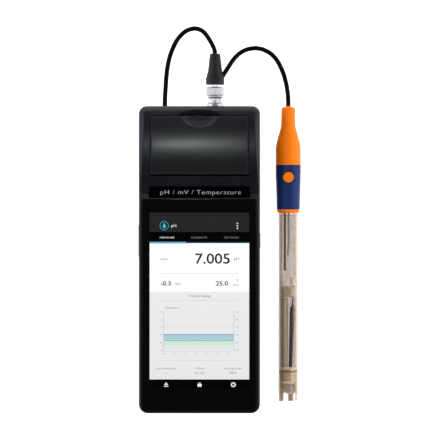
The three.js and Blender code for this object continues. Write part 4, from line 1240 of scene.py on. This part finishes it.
def words(text, x, y, height, bold=0.0):
    """Lettering fitted between two places, with its middle at y."""
    flat = glyphs("words", text, height / CAPITAL_SHARE, (0, 0, 0), LAYER * 2, bold)
    places = [v.co.x for v in flat.data.vertices]
    low, high = min(places), max(places)
    stretch = (x[1] - x[0]) * MM / (high - low)
    fit = Matrix.Diagonal((stretch, 1, 1, 1)) @ Matrix.Translation((-low, 0, 0))
    rise = DEPTH + LAYER * (WORDS_LAYER - 1)
    flat.data.transform(Matrix.Translation(Vector((x[0], y, rise)) * MM) @ fit)
    return flat


def disc(x, y, radius):
    return bar("disc", radius, SCREEN_FLOOR, MARK_TOP, "Z", (x, y, 0), 0, 32)


def hoop(x, y, outer, inner, sides=32):
    return ring("hoop", outer, inner, SCREEN_FLOOR, MARK_TOP, "Z", (x, y, 0), 0, sides)


def show(name, shade, parts):
    """One piece of the display's picture, in one colour, in display values from 0 to 255."""
    name = "screen_" + name
    detail(merge(name, parts), screen_ink(name + "_ink", shade), "display_module")


def screen_frame():
    """Title bar, tab bar with its mark, fields and the button bar below."""
    wide = (-34.1, 34.1)
    show("title_bar", (38, 38, 39), [plate(wide, (19.0, 32.2), 1)])
    show("dark_bars", (3, 3, 4), [plate(wide, (11.4, 19.0), 1), plate(wide, (-88.5, -82.0), 1)])
    show("white_field", (255, 255, 255), [plate(wide, (-22.0, 11.4), 1)])
    show("grey_field", (236, 236, 236), [plate(wide, (-82.0, -22.0), 1)])
    show("tab_rule", (24, 84, 104), [plate((-9.2, 34.1), (11.3, 12.1), 2)])
    show("tab_mark", (97, 168, 199), [plate((-34.1, -9.2), (11.1, 12.3), 3)])


def screen_readings():
    """The main reading with its unit, then voltage and temperature."""
    digits = [words("7.005", (-2.8, 20.8), 0.35, 7.1, bold=0.1),
              words("-0.3", (-26.5, -19.6), -16.4, 3.0, bold=0.06),
              words("25.0", (11.2, 19.6), -16.4, 3.0, bold=0.06)]
    show("digits", (22, 22, 24), digits)
    units = [words("pH", (23.7, 27.0), 0.5, 1.9), words("mV", (-16.8, -12.6), -16.6, 1.7),
             words("°C", (25.0, 27.0), -14.2, 1.5), words("ATC", (23.0, 27.0), -17.3, 1.4)]
    show("units", (92, 92, 95), units)
    show("note", (88, 172, 196), [words("stable", (-27.0, -21.4), 0.5, 1.5)])
    rules = [plate((-27.0, 27.0), (-9.5, -9.25), 2), plate((-27.0, 27.0), (-28.2, -27.95), 2),
             plate((-27.6, 27.6), (-69.2, -68.95), 2)]
    show("rules", (210, 210, 212), rules)


def screen_tabs():
    labels = [words("MEASURE", (-27.0, -17.2), 15.1, 1.2), words("pH", (-19.4, -15.9), 23.2, 1.9)]
    labels += [disc(26.0, y, 0.5) for y in (24.9, 23.2, 21.5)]
    show("white_marks", (232, 232, 234), labels)
    faint = [words("CALIBRATE", (-5.8, 5.2), 15.1, 1.35), words("SETTINGS", (16.9, 27.0), 15.1, 1.35)]
    show("faint_marks", (122, 122, 126), faint)


def screen_badge():
    """A drop in a ring beside the title."""
    x, y = -24.1, 23.3
    show("badge", (40, 148, 166), [hoop(x, y, 3.15, 2.6, 64)])
    outline = [(x, y + 1.9)]
    for k in range(17):
        a = math.radians(35 - 250 * k / 16)
        outline.append((x + 1.15 * math.cos(a), y - 0.55 + 1.15 * math.sin(a)))
    show("drop", (64, 186, 200), [prism("drop", outline, SCREEN_FLOOR, MARK_TOP)])


CHART_X, CHART_Y = (-24.6, 23.6), (-62.8, -35.8)


def screen_chart():
    """The trend chart: its title, frame, grid, filled bands, and the numbers along three sides."""
    (x0, x1), (y0, y1) = CHART_X, CHART_Y
    title = [words("Trend of reading", (-7.2, 7.4), -24.9, 1.6, bold=0.02),
             words("Channel 1", (-23.6, -13.4), -33.0, 1.4)]
    numbers = [words(str(14 - 2 * i), (x0 - 2.3, x0 - 0.9), y1 - 5.25 * i, 1.0) for i in range(6)]
    numbers += [words(str(100 - 20 * i), (x1 + 1.4, x1 + 3.4), y1 - 5.25 * i, 1.0) for i in range(6)]
    numbers += [words(f"{10 + i}", (x0 + 7.3 * i - 0.8, x0 + 7.3 * i + 1.0), y0 - 1.7, 1.0) for i in range(7)]
    show("chart_words", (150, 150, 154), title)
    show("chart_numbers", (176, 178, 182), numbers)
    lines = [plate((x0, x1), (y - 0.12, y + 0.12), 2) for y in (y0, -45.4, y1)]
    show("chart_grid", (214, 216, 218), lines)
    sides = [plate((x - 0.16, x + 0.16), (y0, y1), 5) for x in (x0, x1)]
    show("chart_sides", (198, 200, 203), sides)
    show("chart_blue", (174, 207, 220), [plate((x0, x1), (-54.8, -51.2), 3)])
    show("chart_blue_line", (112, 160, 182), [plate((x0, x1), (-51.6, -51.0), 4)])
    show("chart_green", (208, 237, 220), [plate((x0, x1), (-58.6, -54.8), 3)])
    show("chart_green_line", (128, 178, 164), [plate((x0, x1), (-55.7, -55.1), 4)])
    show("chart_pale", (226, 239, 230), [plate((x0, x1), (-60.6, -58.6), 2)])


def screen_foot():
    """Three values under the chart, and the marks of the three buttons in the bar."""
    labels = [words("Last calibration", (-29.6, -16.2), -74.5, 1.2), words("Offset", (-2.6, 3.4), -74.5, 1.2),
              words("Average slope", (16.9, 29.3), -74.5, 1.2)]
    show("foot_labels", (140, 140, 144), labels)
    values = [words("--", (-24.2, -21.6), -77.6, 1.2), words("0.1 mV", (-3.0, 3.4), -77.6, 1.3),
              words("100 %", (20.9, 25.5), -77.6, 1.3)]
    show("foot_values", (80, 80, 84), values)
    y = -85.6
    arrow = [(-24.2, y - 0.2), (-21.4, y - 0.2), (-22.8, y + 1.7)]
    marks = [prism("arrow", arrow, SCREEN_FLOOR, MARK_TOP),
             plate((-24.3, -21.3), (y - 1.4, y - 0.8), 3),
             plate((-1.3, 1.5), (y - 1.4, y + 0.5), 3, 0.2),
             hoop(0.1, y + 0.6, 0.95, 0.6),
             hoop(23.2, y, 1.45, 0.8)]
    for k in range(8):
        tooth = plate((1.3, 1.85), (-0.3, 0.3), 3)
        tooth.data.transform(placed((23.2, y, 0), 45 * k, "Z"))
        marks.append(tooth)
    show("button_marks", (245, 245, 246), marks)


for make in (screen_frame, screen_readings, screen_tabs, screen_badge, screen_chart, screen_foot):
    make()


# ---- room ----
TENT_OPENING, TENT_WALL, TENT_TOP = (0.55, 0.87), 3.5, 0.1
TENT_ENDS, TENT_ENDS_SHARE = (0.1, 0.85), 0.08
TENT_SIDES, TENT_LEFT_SHARE = (-0.8, 0.8), 0.9
TENT_COLOR = (0.94, 0.97, 1)


FLOOR_HALF, FLOOR_Z = 2000, -0.2


def room():
    corners = [(x * FLOOR_HALF, y * FLOOR_HALF, FLOOR_Z) for x, y in ((-1, -1), (1, -1), (1, 1), (-1, 1))]
    floor = mesh_object("floor", corners, [(0, 1, 2, 3)])
    white = principled("floor_white", (0.95, 0.95, 0.95), 0.9, Emission_Strength=0.95)
    shader_of(white).inputs["Emission Color"].default_value = (1, 1, 1, 1)
    floor.data.materials.append(white)


def soft_light(name, at, aim, size, power):
    data = bpy.data.lights.new(name, "AREA")
    data.shape = "RECTANGLE"
    data.size, data.size_y = (side * MM for side in size)
    data.energy = power
    light = new_object(name, data)
    light.location = Vector(at) * MM
    light.rotation_mode = "QUATERNION"
    light.rotation_quaternion = (Vector(aim) - Vector(at)).to_track_quat("-Z", "Y")


def ramp(world, value, low, high, start, stop):
    """A soft step from start to stop while the value goes from low to high."""
    node = add_node(world, "ShaderNodeMapRange", From_Min=low, From_Max=high, To_Min=start, To_Max=stop)
    node.interpolation_type = "SMOOTHSTEP"
    link(world, value, node.inputs["Value"])
    return node.outputs["Result"]


def combined(world, operation, *values):
    node = add_node(world, "ShaderNodeMath")
    node.operation = operation
    for value, target in zip(values, node.inputs):
        link(world, value, target)
    return node.outputs["Value"]


def tent():
    """A white tent: bright walls left and right, dimmer ends, and a dark opening overhead."""
    world = bpy.data.worlds.new("tent")
    world.use_nodes = True
    place = add_node(world, "ShaderNodeTexCoord")
    split = add_node(world, "ShaderNodeSeparateXYZ")
    link(world, place.outputs["Generated"], split.inputs["Vector"])
    height = ramp(world, split.outputs["Z"], *TENT_OPENING, TENT_WALL, TENT_TOP)
    across = combined(world, "ABSOLUTE", split.outputs["Y"])
    ends = ramp(world, across, *TENT_ENDS, 1, TENT_ENDS_SHARE)
    side = ramp(world, split.outputs["X"], *TENT_SIDES, TENT_LEFT_SHARE, 1)
    background = world.node_tree.nodes["Background"]
    walls = combined(world, "MULTIPLY", height, ends)
    link(world, combined(world, "MULTIPLY", walls, side), background.inputs["Strength"])
    background.inputs["Color"].default_value = (*TENT_COLOR, 1)
    bpy.context.scene.world = world


def lights():
    tent()
    soft_light("behind", at=(0, 1150, 560), aim=(14, 27, 10), size=(900, 300), power=1.9)
    soft_light("overhead_strip", at=(-6, 84, 200), aim=(-5, 79, 40), size=(30, 18), power=0.11)
    bpy.context.scene.view_settings.view_transform = "Standard"


room()
lights()
